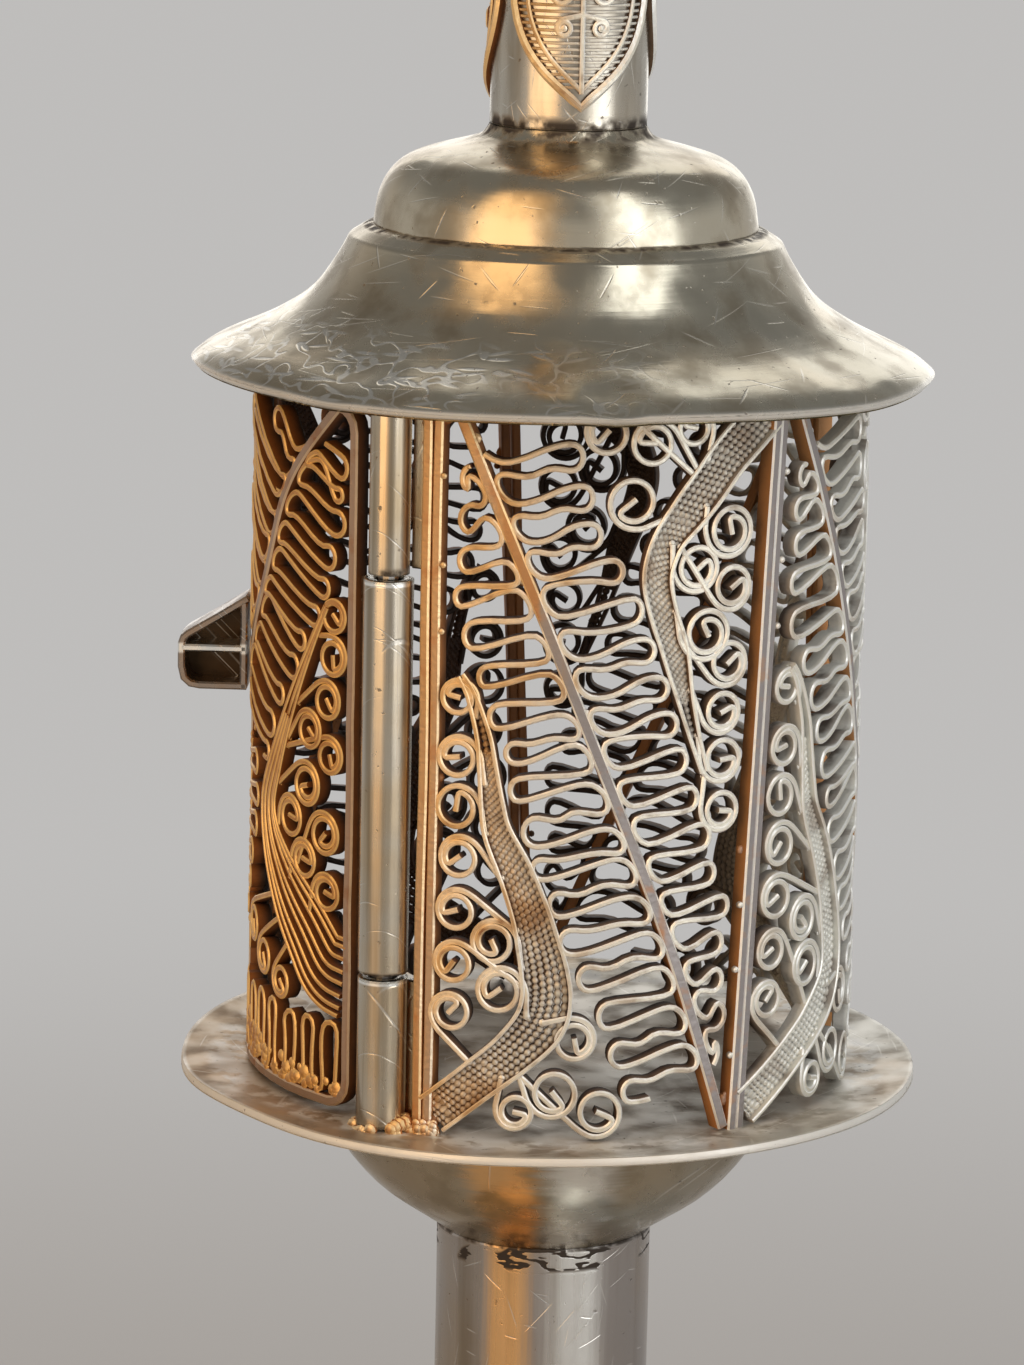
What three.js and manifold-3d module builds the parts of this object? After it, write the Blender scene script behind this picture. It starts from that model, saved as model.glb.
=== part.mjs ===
// Silver filigree spice tower. A stepped foot and a tube stem carry a round plate, and on the plate
// stands a cage of upright strips filled with filigree: four fixed panels and one hinged door.
// A bell roof, a drum and a tapering spire close it. Millimetres, +Z up; the origin is the centre of
// the foot's rim on the surface that it stands on. Azimuths run from -Y towards +X, in degrees.
import * as THREE from "three";
import { mergeVertices } from "three/addons/utils/BufferGeometryUtils.js";
import Module from "manifold-3d";

const wasm = await Module();
wasm.setup();

// Stock that the tower is made of
const sheet = 0.6; // raised and spun silver sheet
const strip = 0.7; // flat strip of the diagonals and the door frame
const stripDepth = 1.3; // radial depth of that strip and of the posts
const wire = 0.5; // filigree wire, flattened and set on edge
const wireDepth = 1.1; // radial depth of the filigree wire
const seam = 0.3; // gap left at a soldered seam
const cutOverrun = 0.5; // how far a cutting piece runs past what it cuts

// Foot
const footRadius = 29;
const footRingWidth = 1.8;
const footRingHeight = 1;
const footFlareHeight = 9.4; // flared lower bell of the foot
const footLedgeRadius = 17;
const footLedgeHeight = 0.8;
const footDrumRadius = 15.7;
const footDrumHeight = 5;
const footNeckHeight = 2.8;

// Stem and cup
const stemRadius = 7.5;
const stemLength = 53;
const stemRingWidth = 0.9; // wire ring soldered round the foot of the stem
const stemRingHeight = 1.2;
const cupHeight = 10.5;
const cupRimRadius = 17;

// Plate and cage
const plateRadius = 25.5;
const plateLipRise = 0.4; // the plate's edge is dished up by this much
const plateLipWidth = 4;
const cageRadius = 21; // outside of the posts and of the filigree
const hoopHeight = 0.6; // hoops above and below the posts
const postHeight = 49.2; // clear height between the two hoops
const postWidth = 1.5; // two strips soldered side by side
const fixedPanels = 4;
const hingePostAngle = -23.8;
const frontPanelSpan = 63.8; // the panel beside the hinge is narrower than the rest
const latchPostAngle = 262;
const postLeanAngle = 3.2; // posts between two fixed panels lean by this much at either end

// Hinge
const pinAngle = -31.5;
const pinReach = 21.3; // distance of the pin from the tower's axis
const pinRadius = 0.75;
const knuckleBore = 0.95;
const knuckleRadius = 1.65;
const lowerKnuckleTop = 11; // heights above the plate
const middleKnuckleTop = 37.7;
const knuckleGap = 0.3;
const knuckleHeadroom = 0.4; // from the top knuckle to the level of the roof's rim
const hingeLeaf = 0.6; // thickness of the tab between a knuckle and its strip

// Door
const doorHingeAngle = -40.6; // middle of the frame's strip beside the hinge
const doorFreeAngle = -94;
const doorFoot = 1; // lower edge of the door above the plate
const doorHeadroom = 0.7; // from its upper edge to the level of the roof's rim
const doorCorner = 1.6; // corner radius of the door frame's centre line
const doorSkirt = 5.4; // height of the row of upright loops along the door's foot
const pullAngle = -92.2;
const pullWidth = 3;
const pullStrip = 0.55;
const pullFoot = 26.4; // above the plate
const pullLoopHeight = 2.8; // from the pull's foot to its shelf
const pullArmHeight = 3.4; // from its shelf to its head
const pullReach = 5.2; // from the door's face
const pullRise = 0.8; // the arm's outer end above the shelf
const pullCorner = 1.3; // radius of the lower outer corner
const pullBack = 0.3; // thin plate that closes the far side

// Filigree
const scrollRadius = 1.25; // centre line of an average scroll
const meanderPitch = 2.35; // from one hairpin to the next
const bandWidth = 2.7; // across the wires soldered side by side to a band, where it is widest
const doorBandWidth = 5.6;

// Roof
const roofRimRadius = 25.2;
const roofRimDrop = 1; // the roof's rim hangs this far below the top of the upper hoop
const bellHeight = 8.5;
const bellTopRadius = 14.7;
const bellLedgeHeight = 0.9; // the ledge rises by this much to the drum's foot
const drumRadius = 13;
const drumSideHeight = 1.9;
const drumShoulderHeight = 2.8;
const drumNeckHeight = 2.1;

// Spire
const spireRadius = 5.3;
const spireTubeLength = 26;
const spireConeLength = 30;
const spireTipRadius = 1.7;
const ballRadius = 3;
const tipLength = 6.5;
const tipRadius = 1;
const leafCount = 3;
const leafWire = 0.7;
const leafRelief = 0.5;
const leafFoot = 1.5; // lowest point of a leaf above the tube's foot
const leafLength = 18;
const leafWidth = 10.8;

// Heights above the plate that follow from these
const rimLevel = hoopHeight * 2 + postHeight - roofRimDrop;
const upperKnuckleTop = rimLevel - knuckleHeadroom;
const doorTop = rimLevel - doorHeadroom;

// Facets
const bigFacets = 20;
const smallFacets = 12;
const curveSteps = 3;
const bellSteps = 4;
const filletSteps = 2;
const scrollSteps = 5;
const bandSteps = 7;
const diagonalSteps = 6;

// Shares
const cupBellyShares = [0.61, 0.38]; // where the cup's sides would meet if its curve were drawn tight
const diagonalShares = [[0.985, 0], [0.035, 1]];
const meanderShares = [
  [0.645, 0.04],
  [0.595, 0.11],
  [0.55, 0.18],
  [0.46, 0.255],
  [0.39, 0.31],
  [0.27, 0.42],
  [0.185, 0.53],
  [0.1, 0.64],
  [0, 0.7],
  [0, 0.86],
];
const bandShares = [
  { at: [0.06, 0.045], width: 0.85 },
  { at: [0.154, 0.116], width: 1 },
  { at: [0.315, 0.205], width: 1 },
  { at: [0.321, 0.295], width: 0.85 },
  { at: [0.268, 0.353], width: 0.65 },
  { at: [0.208, 0.412], width: 0.45 },
  { at: [0.154, 0.476], width: 0.35 },
  { at: [0.112, 0.548], width: 0.25 },
  { at: [0.06, 0.615], width: 0.12 },
];
const scrollShares = [
  { at: [0.068, 0.528], radius: 0.96, tail: [0.12, 0.545], sense: 1 },
  { at: [0.068, 0.456], radius: 0.96, tail: [0.17, 0.46], sense: 1 },
  { at: [0.07, 0.39], radius: 0.98, tail: [0.21, 0.4], sense: 1 },
  { at: [0.07, 0.322], radius: 0.98, tail: [0.25, 0.36], sense: 1 },
  { at: [0.09, 0.245], radius: 1.05, tail: [0.28, 0.28], sense: 1 },
  { at: [0.09, 0.165], radius: 1.05, tail: [0.13, 0.09], sense: -1 },
  { at: [0.449, 0.135], radius: 0.9, tail: [0.36, 0.185], sense: -1 },
  { at: [0.36, 0.06], radius: 0.98, tail: [0.24, 0.13], sense: 1 },
];
const doorDiagonalShares = [[1, 0.51], [0.06, 1]];
const doorLowerMeanderShares = [
  [0.64, 0.21],
  [0.6, 0.285],
  [0.6, 0.42],
  [0.514, 0.48],
  [0.389, 0.58],
  [0.273, 0.656],
  [0.176, 0.711],
  [0.09, 0.766],
  [0.03, 0.85],
  [0, 0.9],
];
const doorUpperMeanderShares = [
  [1, 0.63],
  [1, 0.99],
];
const doorBandShares = [
  { at: [0.1, 0.19], width: 1 },
  { at: [0.205, 0.235], width: 0.9 },
  { at: [0.36, 0.296], width: 0.7 },
  { at: [0.47, 0.354], width: 0.5 },
  { at: [0.5, 0.405], width: 0.35 },
  { at: [0.437, 0.465], width: 0.24 },
  { at: [0.321, 0.558], width: 0.18 },
  { at: [0.205, 0.646], width: 0.1 },
  { at: [0.108, 0.718], width: 0.05 },
];
const doorScrollShares = [
  { at: [0.085, 0.652], radius: 1, tail: [0.19, 0.655], sense: -1 },
  { at: [0.085, 0.575], radius: 0.92, tail: [0.24, 0.61], sense: -1 },
  { at: [0.205, 0.532], radius: 0.88, tail: [0.32, 0.55], sense: -1 },
  { at: [0.085, 0.49], radius: 0.9, tail: [0.2, 0.49], sense: -1 },
  { at: [0.21, 0.44], radius: 0.9, tail: [0.4, 0.475], sense: -1 },
  { at: [0.335, 0.4], radius: 0.9, tail: [0.45, 0.43], sense: -1 },
  { at: [0.1, 0.375], radius: 1.2, tail: [0.2, 0.385], sense: -1 },
  { at: [0.6, 0.17], radius: 0.98, tail: [0.42, 0.27], sense: 1 },
];
const legRiseShare = 0.16; // a hairpin's end at the diagonal lies off its other end by this share
const loopShare = 0.62; // a hairpin's wide end, as a share of the pitch
const turnShare = 0.4; // and its narrow end
const coilShare = 0.35; // inner end of a scroll, as a share of its radius
const leafShares = [
  [0.3, 0.1],
  [0.84, 0.32],
  [1, 0.43],
  [0.92, 0.56],
  [0.68, 0.7],
  [0.38, 0.84],
];

const degree = Math.PI / 180;

const silver = new THREE.MeshStandardMaterial({ color: 0xb9b3a6, roughness: 0.32, metalness: 1 });
const polished = new THREE.MeshStandardMaterial({ color: 0xc9c4b8, roughness: 0.22, metalness: 1 });
const filigree = new THREE.MeshStandardMaterial({ color: 0xc4b393, roughness: 0.38, metalness: 1 });
const steel = new THREE.MeshStandardMaterial({ color: 0x8d8a84, roughness: 0.45, metalness: 1 });

const tower = new THREE.Group();

// A group standing at a height above its parent
function stage(height, parent = tower) {
  const group = new THREE.Group();
  group.position.z = height;
  parent.add(group);
  return group;
}

function add(parent, name, geometry, material) {
  const mesh = new THREE.Mesh(geometry, material);
  mesh.name = name;
  parent.add(mesh);
  return mesh;
}

// Closed solids and what joins them

function solidOf(geometry) {
  const bare = new THREE.BufferGeometry();
  bare.setAttribute("position", geometry.getAttribute("position").clone());
  if (geometry.index) bare.setIndex(geometry.index.clone());
  const merged = mergeVertices(bare);
  const vertProperties = new Float32Array(merged.attributes.position.array);
  const triVerts = new Uint32Array(merged.index.array);
  return new wasm.Manifold(new wasm.Mesh({ numProp: 3, vertProperties, triVerts }));
}

function geometryOf(solid) {
  const mesh = solid.getMesh();
  const geometry = new THREE.BufferGeometry();
  geometry.setAttribute("position", new THREE.BufferAttribute(mesh.vertProperties, mesh.numProp));
  geometry.setIndex(new THREE.BufferAttribute(mesh.triVerts, 1));
  return geometry;
}

function joined(geometries) {
  return geometryOf(geometries.map(solidOf).reduce((whole, next) => whole.add(next)));
}

function cut(geometry, tool) {
  return geometryOf(solidOf(geometry).subtract(solidOf(tool)));
}

// Revolved work: profiles are [radius, height] pairs that close on themselves or on the axis

function turned(profile, facets = bigFacets) {
  const outline = profile.map(([radius, height]) => new THREE.Vector2(radius, height));
  if (THREE.ShapeUtils.isClockWise(outline)) outline.reverse();
  if (outline.every(({ x }) => x > 0)) outline.push(outline[0].clone());
  const geometry = new THREE.LatheGeometry(outline, facets);
  geometry.rotateX(Math.PI / 2);
  return geometry;
}

// A line moved sideways, to its left where the offset is positive. The offset is one value, or one
// for each point.
function beside(line, offset, closed = false) {
  const count = line.length;
  const offsets = Array.isArray(offset) ? offset : line.map(() => offset);
  return line.map((point, i) => {
    const before = line[closed ? (i + count - 1) % count : Math.max(i - 1, 0)];
    const after = line[closed ? (i + 1) % count : Math.min(i + 1, count - 1)];
    const into = point.clone().sub(before);
    const out = after.clone().sub(point);
    const a = (into.lengthSq() ? into : out).clone().rotateAround(origin, Math.PI / 2).normalize();
    const b = (out.lengthSq() ? out : into).clone().rotateAround(origin, Math.PI / 2).normalize();
    const middle = a.clone().add(b).normalize();
    return middle.multiplyScalar(offsets[i] / Math.max(middle.dot(a), sharpestMitre)).add(point);
  });
}

const origin = new THREE.Vector2();
const sharpestMitre = 0.4;

// Sheet raised to an outer profile that runs upwards, with its thickness inside and level ends
function raised(profile, facets = bigFacets) {
  const outer = profile.map(([radius, height]) => new THREE.Vector2(radius, height));
  const inner = beside(outer, sheet);
  const last = outer.length - 1;
  if (outer[1].y > outer[0].y) inner[0].y = outer[0].y;
  if (outer[last].y > outer[last - 1].y) inner[last].y = outer[last].y;
  return turned([...outer, ...inner.reverse()].map(({ x, y }) => [x, y]), facets);
}

function tube(radius, bore, bottom, top, facets) {
  return turned([[bore, bottom], [radius, bottom], [radius, top], [bore, top]], facets);
}

function rod(radius, bottom, top, facets) {
  return turned([[0, bottom], [radius, bottom], [radius, top], [0, top]], facets);
}

function curve(from, control, to, steps = curveSteps) {
  const [start, middle, end] = [from, control, to].map(([x, y]) => new THREE.Vector2(x, y));
  return new THREE.QuadraticBezierCurve(start, middle, end).getPoints(steps).map(({ x, y }) => [x, y]);
}

// The bend from a level top into a neck of the given radius
function fillet(radius, bottom, top, width) {
  return curve([radius + width, bottom], [radius, bottom], [radius, top], filletSteps);
}

// Strip and wire, drawn flat and then bent round the axis

const flat = (x, y) => new THREE.Vector2(x, y);
const arc = (angle, radius = cageRadius) => angle * degree * radius;

function divided(from, to, parts) {
  return Array.from({ length: parts + 1 }, (_, i) => from.clone().lerp(to, i / parts));
}

// A strip along a drawn line, standing in z from 0 to its depth, with one width or one for each point
function ribbon(line, width, depth, closed = false) {
  const halves = line.map((_, i) => (Array.isArray(width) ? width[i] : width) / 2);
  const left = beside(line, halves, closed);
  const right = beside(line, halves.map((half) => -half), closed);
  const corners = line.flatMap((_, i) => {
    const [l, r] = [left[i], right[i]];
    return [r.x, r.y, 0, l.x, l.y, 0, l.x, l.y, depth, r.x, r.y, depth];
  });
  const faces = [];
  const spans = closed ? line.length : line.length - 1;
  for (let i = 0; i < spans; i++) {
    const here = i * 4;
    const next = ((i + 1) % line.length) * 4;
    for (let k = 0; k < 4; k++) {
      const m = (k + 1) % 4;
      faces.push(here + k, here + m, next + m, here + k, next + m, next + k);
    }
  }
  if (!closed) {
    const last = (line.length - 1) * 4;
    faces.push(0, 2, 1, 0, 3, 2, last, last + 1, last + 2, last, last + 2, last + 3);
  }
  const geometry = new THREE.BufferGeometry();
  geometry.setAttribute("position", new THREE.Float32BufferAttribute(corners, 3));
  geometry.setIndex(faces);
  return geometry;
}

// Bends flat work round the axis: x is the arc at the outer radius, y the height and z the depth
function bent(geometry, depth, radius = cageRadius) {
  const p = geometry.attributes.position;
  for (let i = 0; i < p.count; i++) {
    const angle = p.getX(i) / radius;
    const reach = radius - depth + p.getZ(i);
    p.setXYZ(i, reach * Math.sin(angle), -reach * Math.cos(angle), p.getY(i));
  }
  return geometry;
}

const stripWork = (line, closed) => bent(ribbon(line, strip, stripDepth, closed), stripDepth);
const wireWork = (line) => bent(ribbon(line, wire, wireDepth), wireDepth);

// Foot, stem and cup

function makeFoot(ground) {
  const ring = tube(footRadius, footRadius - footRingWidth, 0, footRingHeight);
  add(ground, "foot_ring", ring, silver);
  const ledge = footFlareHeight;
  const drum = ledge + footLedgeHeight;
  const shoulder = drum + footDrumHeight;
  const top = shoulder + footNeckHeight;
  const rim = footRadius - footRingWidth / 4;
  const waist = footLedgeRadius + (rim - footLedgeRadius) / 4;
  const profile = [
    ...curve([rim, 0], [waist, ledge / 4], [footLedgeRadius, ledge], bellSteps),
    [footDrumRadius, drum],
    ...curve(
      [footDrumRadius, shoulder - footDrumHeight / 2],
      [footDrumRadius, shoulder],
      [(footDrumRadius + stemRadius) / 2, shoulder + sheet],
    ),
    ...fillet(stemRadius, shoulder + sheet * 2, top, sheet * 2),
  ];
  const bell = stage(footRingHeight, ground);
  add(bell, "foot_bell", raised(profile), silver);
  return stage(top, bell);
}

function makeStem(base) {
  add(base, "stem_tube", tube(stemRadius, stemRadius - sheet, 0, stemLength), silver);
  const bore = stemRadius + seam;
  const ring = tube(bore + stemRingWidth, bore, 0, stemRingHeight);
  add(stage(seam, base), "stem_ring", ring, silver);
  const [out, up] = cupBellyShares;
  const belly = [THREE.MathUtils.lerp(stemRadius, cupRimRadius, out), cupHeight * up];
  const profile = [
    [stemRadius, 0],
    ...curve([stemRadius + sheet, sheet], belly, [cupRimRadius, cupHeight], bellSteps),
  ];
  const cup = stage(stemLength, base);
  add(cup, "cup", raised(profile), silver);
  return stage(cupHeight, cup);
}

// Plate with a dished lip
function makePlate(base) {
  const lip = plateRadius - plateLipWidth;
  const profile = [
    [0, 0],
    [lip, 0],
    [plateRadius, plateLipRise],
    [plateRadius, sheet + plateLipRise],
    [lip, sheet],
    [0, sheet],
  ];
  add(base, "plate", turned(profile), silver);
  return stage(sheet, base);
}

// Filigree panels. A panel is a clear field between two upright edges, each given as a function of
// height. Places in it are shares of its width, from the hinge's side on the door and from the left
// elsewhere, and of its height.

function place(panel, [across, up], inset = wire / 2) {
  const y = THREE.MathUtils.lerp(panel.bottom + inset, panel.top - inset, up);
  const left = panel.left(y) + inset;
  const right = panel.right(y) - inset;
  return flat(THREE.MathUtils.lerp(left, right, panel.mirrored ? 1 - across : across), y);
}

const halfTurned = ([across, up]) => [1 - across, 1 - up];

function xAt(line, y) {
  const rising = line[0].y < line[line.length - 1].y ? line : line.toReversed();
  const after = rising.findIndex((point) => point.y > y);
  if (after === 0) return rising[0].x;
  if (after < 0) return rising[rising.length - 1].x;
  const [a, b] = [rising[after - 1], rising[after]];
  return THREE.MathUtils.mapLinear(y, a.y, b.y, a.x, b.x);
}

// The strip across a panel stops short of its edges by half its own thickness at each corner.
function diagonalOf(panel, shares) {
  const [foot, head] = shares.map((share) => place(panel, share, strip * Math.SQRT1_2));
  return divided(foot, head, diagonalSteps);
}

// Hairpin wire between the diagonal and a drawn edge: narrow turns at the diagonal, wide ones away
function meander(panel, diagonal, shares, above) {
  const edge = shares.map((share) => place(panel, share));
  const side = above === panel.mirrored ? 1 : -1;
  const guide = beside(diagonal, side * (strip / 2 + seam + wire / 2));
  const heights = edge.map(({ y }) => y);
  const [low, high] = [Math.min(...heights), Math.max(...heights)];
  const loops = Math.round((high - low) / meanderPitch);
  const pitch = (high - low) / loops;
  const [turnHalf, loopHalf] = [(pitch * (1 - turnShare)) / 2, (pitch * loopShare) / 2];
  const line = Array.from({ length: loops }, (_, i) => low + (i + 1 / 2) * pitch).flatMap((middle) => {
    const reach = Math.abs(xAt(guide, middle) - xAt(edge, middle));
    const rise = reach * legRiseShare * (above ? -1 : 1);
    const atGuide = (y) => flat(xAt(guide, y + rise), y + rise);
    const atEdge = (y) => flat(xAt(edge, y), y);
    return [
      atGuide(middle - turnHalf),
      atEdge(middle - loopHalf),
      atEdge(middle + loopHalf),
      atGuide(middle + turnHalf),
    ];
  });
  return wireWork(line);
}

// The point of the drawn lines that lies nearest to a given one, where a tail is soldered on
function nearest(point, lines) {
  const feet = lines.flatMap((line) =>
    line.slice(1).map((end, i) => {
      const segment = new THREE.Line3(upright(line[i]), upright(end));
      const foot = segment.closestPointToPoint(upright(point), true, new THREE.Vector3());
      return flat(foot.x, foot.y);
    }),
  );
  return feet.reduce((best, foot) => (foot.distanceTo(point) < best.distanceTo(point) ? foot : best));
}

const upright = ({ x, y }) => new THREE.Vector3(x, y, 0);

// A tail that runs on to a ring, all but closed, and turns in at its end
function scrollLine(panel, scroll, drawn) {
  const centre = place(panel, scroll.at);
  const tail = nearest(place(panel, scroll.tail), drawn);
  const radius = scrollRadius * scroll.radius;
  const toTail = tail.clone().sub(centre);
  const start = toTail.angle() + scroll.sense * Math.acos(Math.min(radius / toTail.length(), 1));
  const coil = Array.from({ length: scrollSteps + 1 }, (_, i) => {
    const angle = start + (scroll.sense * Math.PI * 2 * i) / scrollSteps;
    const reach = i < scrollSteps ? radius : radius * coilShare;
    return flat(reach, 0).rotateAround(origin, angle).add(centre);
  });
  return [tail, ...coil];
}

// A band of wires soldered side by side, which tapers to one wire, and the scrolls that grow from it
function spray(panel, band, scrolls, width) {
  const middle = new THREE.SplineCurve(band.map(({ at }) => place(panel, at))).getPoints(bandSteps);
  const taper = new THREE.SplineCurve(band.map((share, i) => flat(i, share.width))).getPoints(bandSteps);
  const widths = taper.map(({ y }) => Math.max(width * y, wire));
  const lines = [middle];
  for (const scroll of scrolls) lines.push(scrollLine(panel, scroll, lines));
  const work = lines.map((line, i) => ribbon(line, i ? wire : widths, wireDepth));
  return bent(joined(work), wireDepth);
}

// Cage

function postOf(footAngle, headAngle) {
  const toe = flat(arc(footAngle), postWidth / 2);
  const head = flat(arc(headAngle), postHeight - postWidth / 2);
  const line = [flat(toe.x, 0), ...divided(toe, head, 2), flat(head.x, postHeight)];
  return bent(ribbon(line, postWidth, stripDepth), stripDepth);
}

function fixedPanel(index, azimuth, span, leftLean, rightLean, base) {
  const group = stage(0, base);
  group.rotation.z = azimuth * degree;
  const clear = postWidth / 2 + seam;
  const leanAt = (lean, y) => arc(THREE.MathUtils.lerp(-lean, lean, y / postHeight));
  const panel = {
    left: (y) => arc(-span / 2) + leanAt(leftLean, y) + clear,
    right: (y) => arc(span / 2) + leanAt(rightLean, y) - clear,
    bottom: seam,
    top: postHeight - seam,
    mirrored: false,
  };
  const diagonal = diagonalOf(panel, diagonalShares);
  const turnedBand = bandShares.map((share) => ({ ...share, at: halfTurned(share.at) }));
  const turnedScrolls = scrollShares.map((share) => ({
    ...share,
    at: halfTurned(share.at),
    tail: halfTurned(share.tail),
  }));
  const name = `panel_${index}`;
  add(group, `${name}_diagonal`, stripWork(diagonal), silver);
  add(group, `${name}_lower_meander`, meander(panel, diagonal, meanderShares, false), filigree);
  const turnedMeander = meander(panel, diagonal, meanderShares.map(halfTurned), true);
  add(group, `${name}_upper_meander`, turnedMeander, filigree);
  add(group, `${name}_lower_spray`, spray(panel, bandShares, scrollShares, bandWidth), filigree);
  add(group, `${name}_upper_spray`, spray(panel, turnedBand, turnedScrolls, bandWidth), filigree);
}

function makeCage(plateTop) {
  const bore = cageRadius - stripDepth;
  add(plateTop, "lower_hoop", tube(cageRadius, bore, 0, hoopHeight), silver);
  const base = stage(hoopHeight, plateTop);
  const firstInner = hingePostAngle + frontPanelSpan;
  const otherSpan = (latchPostAngle - firstInner) / (fixedPanels - 1);
  const others = Array.from({ length: fixedPanels }, (_, i) => firstInner + i * otherSpan);
  const posts = [hingePostAngle, ...others];
  const leans = posts.map((_, i) => (i === 0 || i === fixedPanels ? 0 : postLeanAngle));
  posts.forEach((angle, i) => {
    const name = i === 0 ? "hinge_post" : i === fixedPanels ? "latch_post" : `post_${i}`;
    add(base, name, postOf(angle - leans[i], angle + leans[i]), silver);
    if (i === fixedPanels) return;
    const next = posts[i + 1];
    fixedPanel(i + 1, (angle + next) / 2, next - angle, leans[i], leans[i + 1], base);
  });
  const top = stage(postHeight, base);
  add(top, "upper_hoop", tube(cageRadius, bore, 0, hoopHeight), silver);
  return stage(hoopHeight, top);
}

// Hinge

const towerAxis = new THREE.Vector3(0, 0, 1);
const pin = new THREE.Vector3(0, -pinReach, 0).applyAxisAngle(towerAxis, pinAngle * degree);

// A knuckle with the tab that ties it to the edge beside it, given as an arc at the cage's radius
function knuckle(bottom, top, edge) {
  const side = Math.sign(edge - arc(pinAngle));
  const root = arc(pinAngle) + (side * (knuckleBore + knuckleRadius)) / 2;
  const middle = (top + bottom) / 2;
  const line = divided(flat(root, middle), flat(edge - side * seam, middle), 2);
  const tab = bent(ribbon(line, top - bottom - knuckleGap * 2, hingeLeaf), hingeLeaf);
  const barrel = tube(knuckleRadius, knuckleBore, bottom, top, smallFacets).translate(pin.x, pin.y, 0);
  const bore = rod(knuckleBore, bottom - cutOverrun, top + cutOverrun, smallFacets);
  return cut(joined([barrel, tab]), bore.translate(pin.x, pin.y, 0));
}

function makeHinge(plateTop, leaf) {
  const foot = hoopHeight + seam;
  const postEdge = arc(hingePostAngle) - postWidth / 2;
  const doorEdge = arc(doorHingeAngle) + strip / 2;
  add(plateTop, "lower_knuckle", knuckle(foot, lowerKnuckleTop, postEdge), silver);
  add(plateTop, "upper_knuckle", knuckle(middleKnuckleTop + knuckleGap, upperKnuckleTop, postEdge), silver);
  add(leaf, "door_knuckle", knuckle(lowerKnuckleTop + knuckleGap, middleKnuckleTop, doorEdge), polished);
  const shaft = rod(pinRadius, foot, upperKnuckleTop, smallFacets);
  add(plateTop, "hinge_pin", shaft, steel).position.copy(pin);
}

// Door

function doorFrame() {
  const [left, right] = [arc(doorFreeAngle), arc(doorHingeAngle)];
  const [bottom, top] = [doorFoot + strip / 2, doorTop - strip / 2];
  const spoke = (turn) => flat(doorCorner, 0).rotateAround(origin, (turn * Math.PI) / 2);
  const corner = (x, y, quarter) => [0, 1, 2].map((i) => spoke(quarter + i / 2).add(flat(x, y)));
  const corners = [
    corner(right - doorCorner, top - doorCorner, 0),
    corner(left + doorCorner, top - doorCorner, 1),
    corner(left + doorCorner, bottom + doorCorner, 2),
    corner(right - doorCorner, bottom + doorCorner, 3),
  ];
  return corners.flatMap((points, i) => {
    const rail = divided(points[2], corners[(i + 1) % corners.length][0], diagonalSteps);
    return i % 2 === 0 ? [...points, ...rail.slice(1, -1)] : points;
  });
}

// Row of upright loops along the foot of the door
function skirtWire(panel) {
  const clear = wire / 2 + doorCorner - strip;
  const [start, end] = [panel.left(0) + clear, panel.right(0) - clear];
  const [bottom, top] = [panel.bottom - doorSkirt + wire / 2, panel.bottom - seam - wire / 2];
  const legs = Math.floor(((end - start) * 2) / meanderPitch);
  const line = divided(flat(start, bottom), flat(end, bottom), legs).flatMap(({ x }, i) =>
    i % 2 ? [flat(x, top), flat(x, bottom)] : [flat(x, bottom), flat(x, top)],
  );
  return wireWork(line);
}

// A thumb pull: a strap bent to a loop, whose upper side is a shelf, an arm that slopes from the
// shelf's outer end up to the door, and a thin plate that closes both behind
function pull() {
  const seat = cageRadius + seam + pullStrip / 2;
  const end = cageRadius + pullReach - pullStrip / 2;
  const shelf = pullFoot + pullLoopHeight;
  const bottom = [
    ...curve([end, pullFoot + pullCorner], [end, pullFoot], [end - pullCorner, pullFoot]),
    [seat, pullFoot],
  ];
  const arm = [[seat, shelf + pullArmHeight], [end, shelf + pullRise], [end, shelf]];
  const drawn = (points) => points.map(([x, y]) => flat(x, y));
  const loop = drawn([...bottom, [seat, shelf], [end, shelf]]);
  const outline = new THREE.Shape(drawn([...bottom, ...arm]));
  const back = new THREE.ExtrudeGeometry(outline, { depth: pullBack, bevelEnabled: false });
  const strap = joined([
    ribbon(loop, pullStrip, pullWidth, true),
    ribbon(drawn(arm), pullStrip, pullWidth),
    back.translate(0, 0, pullWidth - pullBack),
  ]);
  return strap.translate(0, 0, -pullWidth / 2).rotateX(Math.PI / 2);
}

function makeDoor(plateTop) {
  const door = stage(0, plateTop);
  door.position.copy(pin);
  const leaf = stage(0, door);
  leaf.position.copy(pin).negate();
  add(leaf, "door_frame", stripWork(doorFrame(), true), silver);
  const clear = strip / 2 + seam;
  const panel = {
    left: () => arc(doorFreeAngle) + clear,
    right: () => arc(doorHingeAngle) - clear,
    bottom: doorFoot + strip + seam + doorSkirt,
    top: doorTop - strip - seam,
    mirrored: true,
  };
  const field = { ...panel, bottom: doorFoot + strip + seam };
  const diagonal = diagonalOf(field, doorDiagonalShares);
  add(leaf, "door_diagonal", stripWork(diagonal), silver);
  add(leaf, "door_lower_meander", meander(field, diagonal, doorLowerMeanderShares, false), filigree);
  add(leaf, "door_upper_meander", meander(field, diagonal, doorUpperMeanderShares, true), filigree);
  add(leaf, "door_spray", spray(field, doorBandShares, doorScrollShares, doorBandWidth), filigree);
  add(leaf, "door_skirt_wire", skirtWire(panel), filigree);
  add(leaf, "door_pull", pull(), polished).rotation.z = pullAngle * degree - Math.PI / 2;
  return leaf;
}

// Roof, drum and spire

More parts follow.
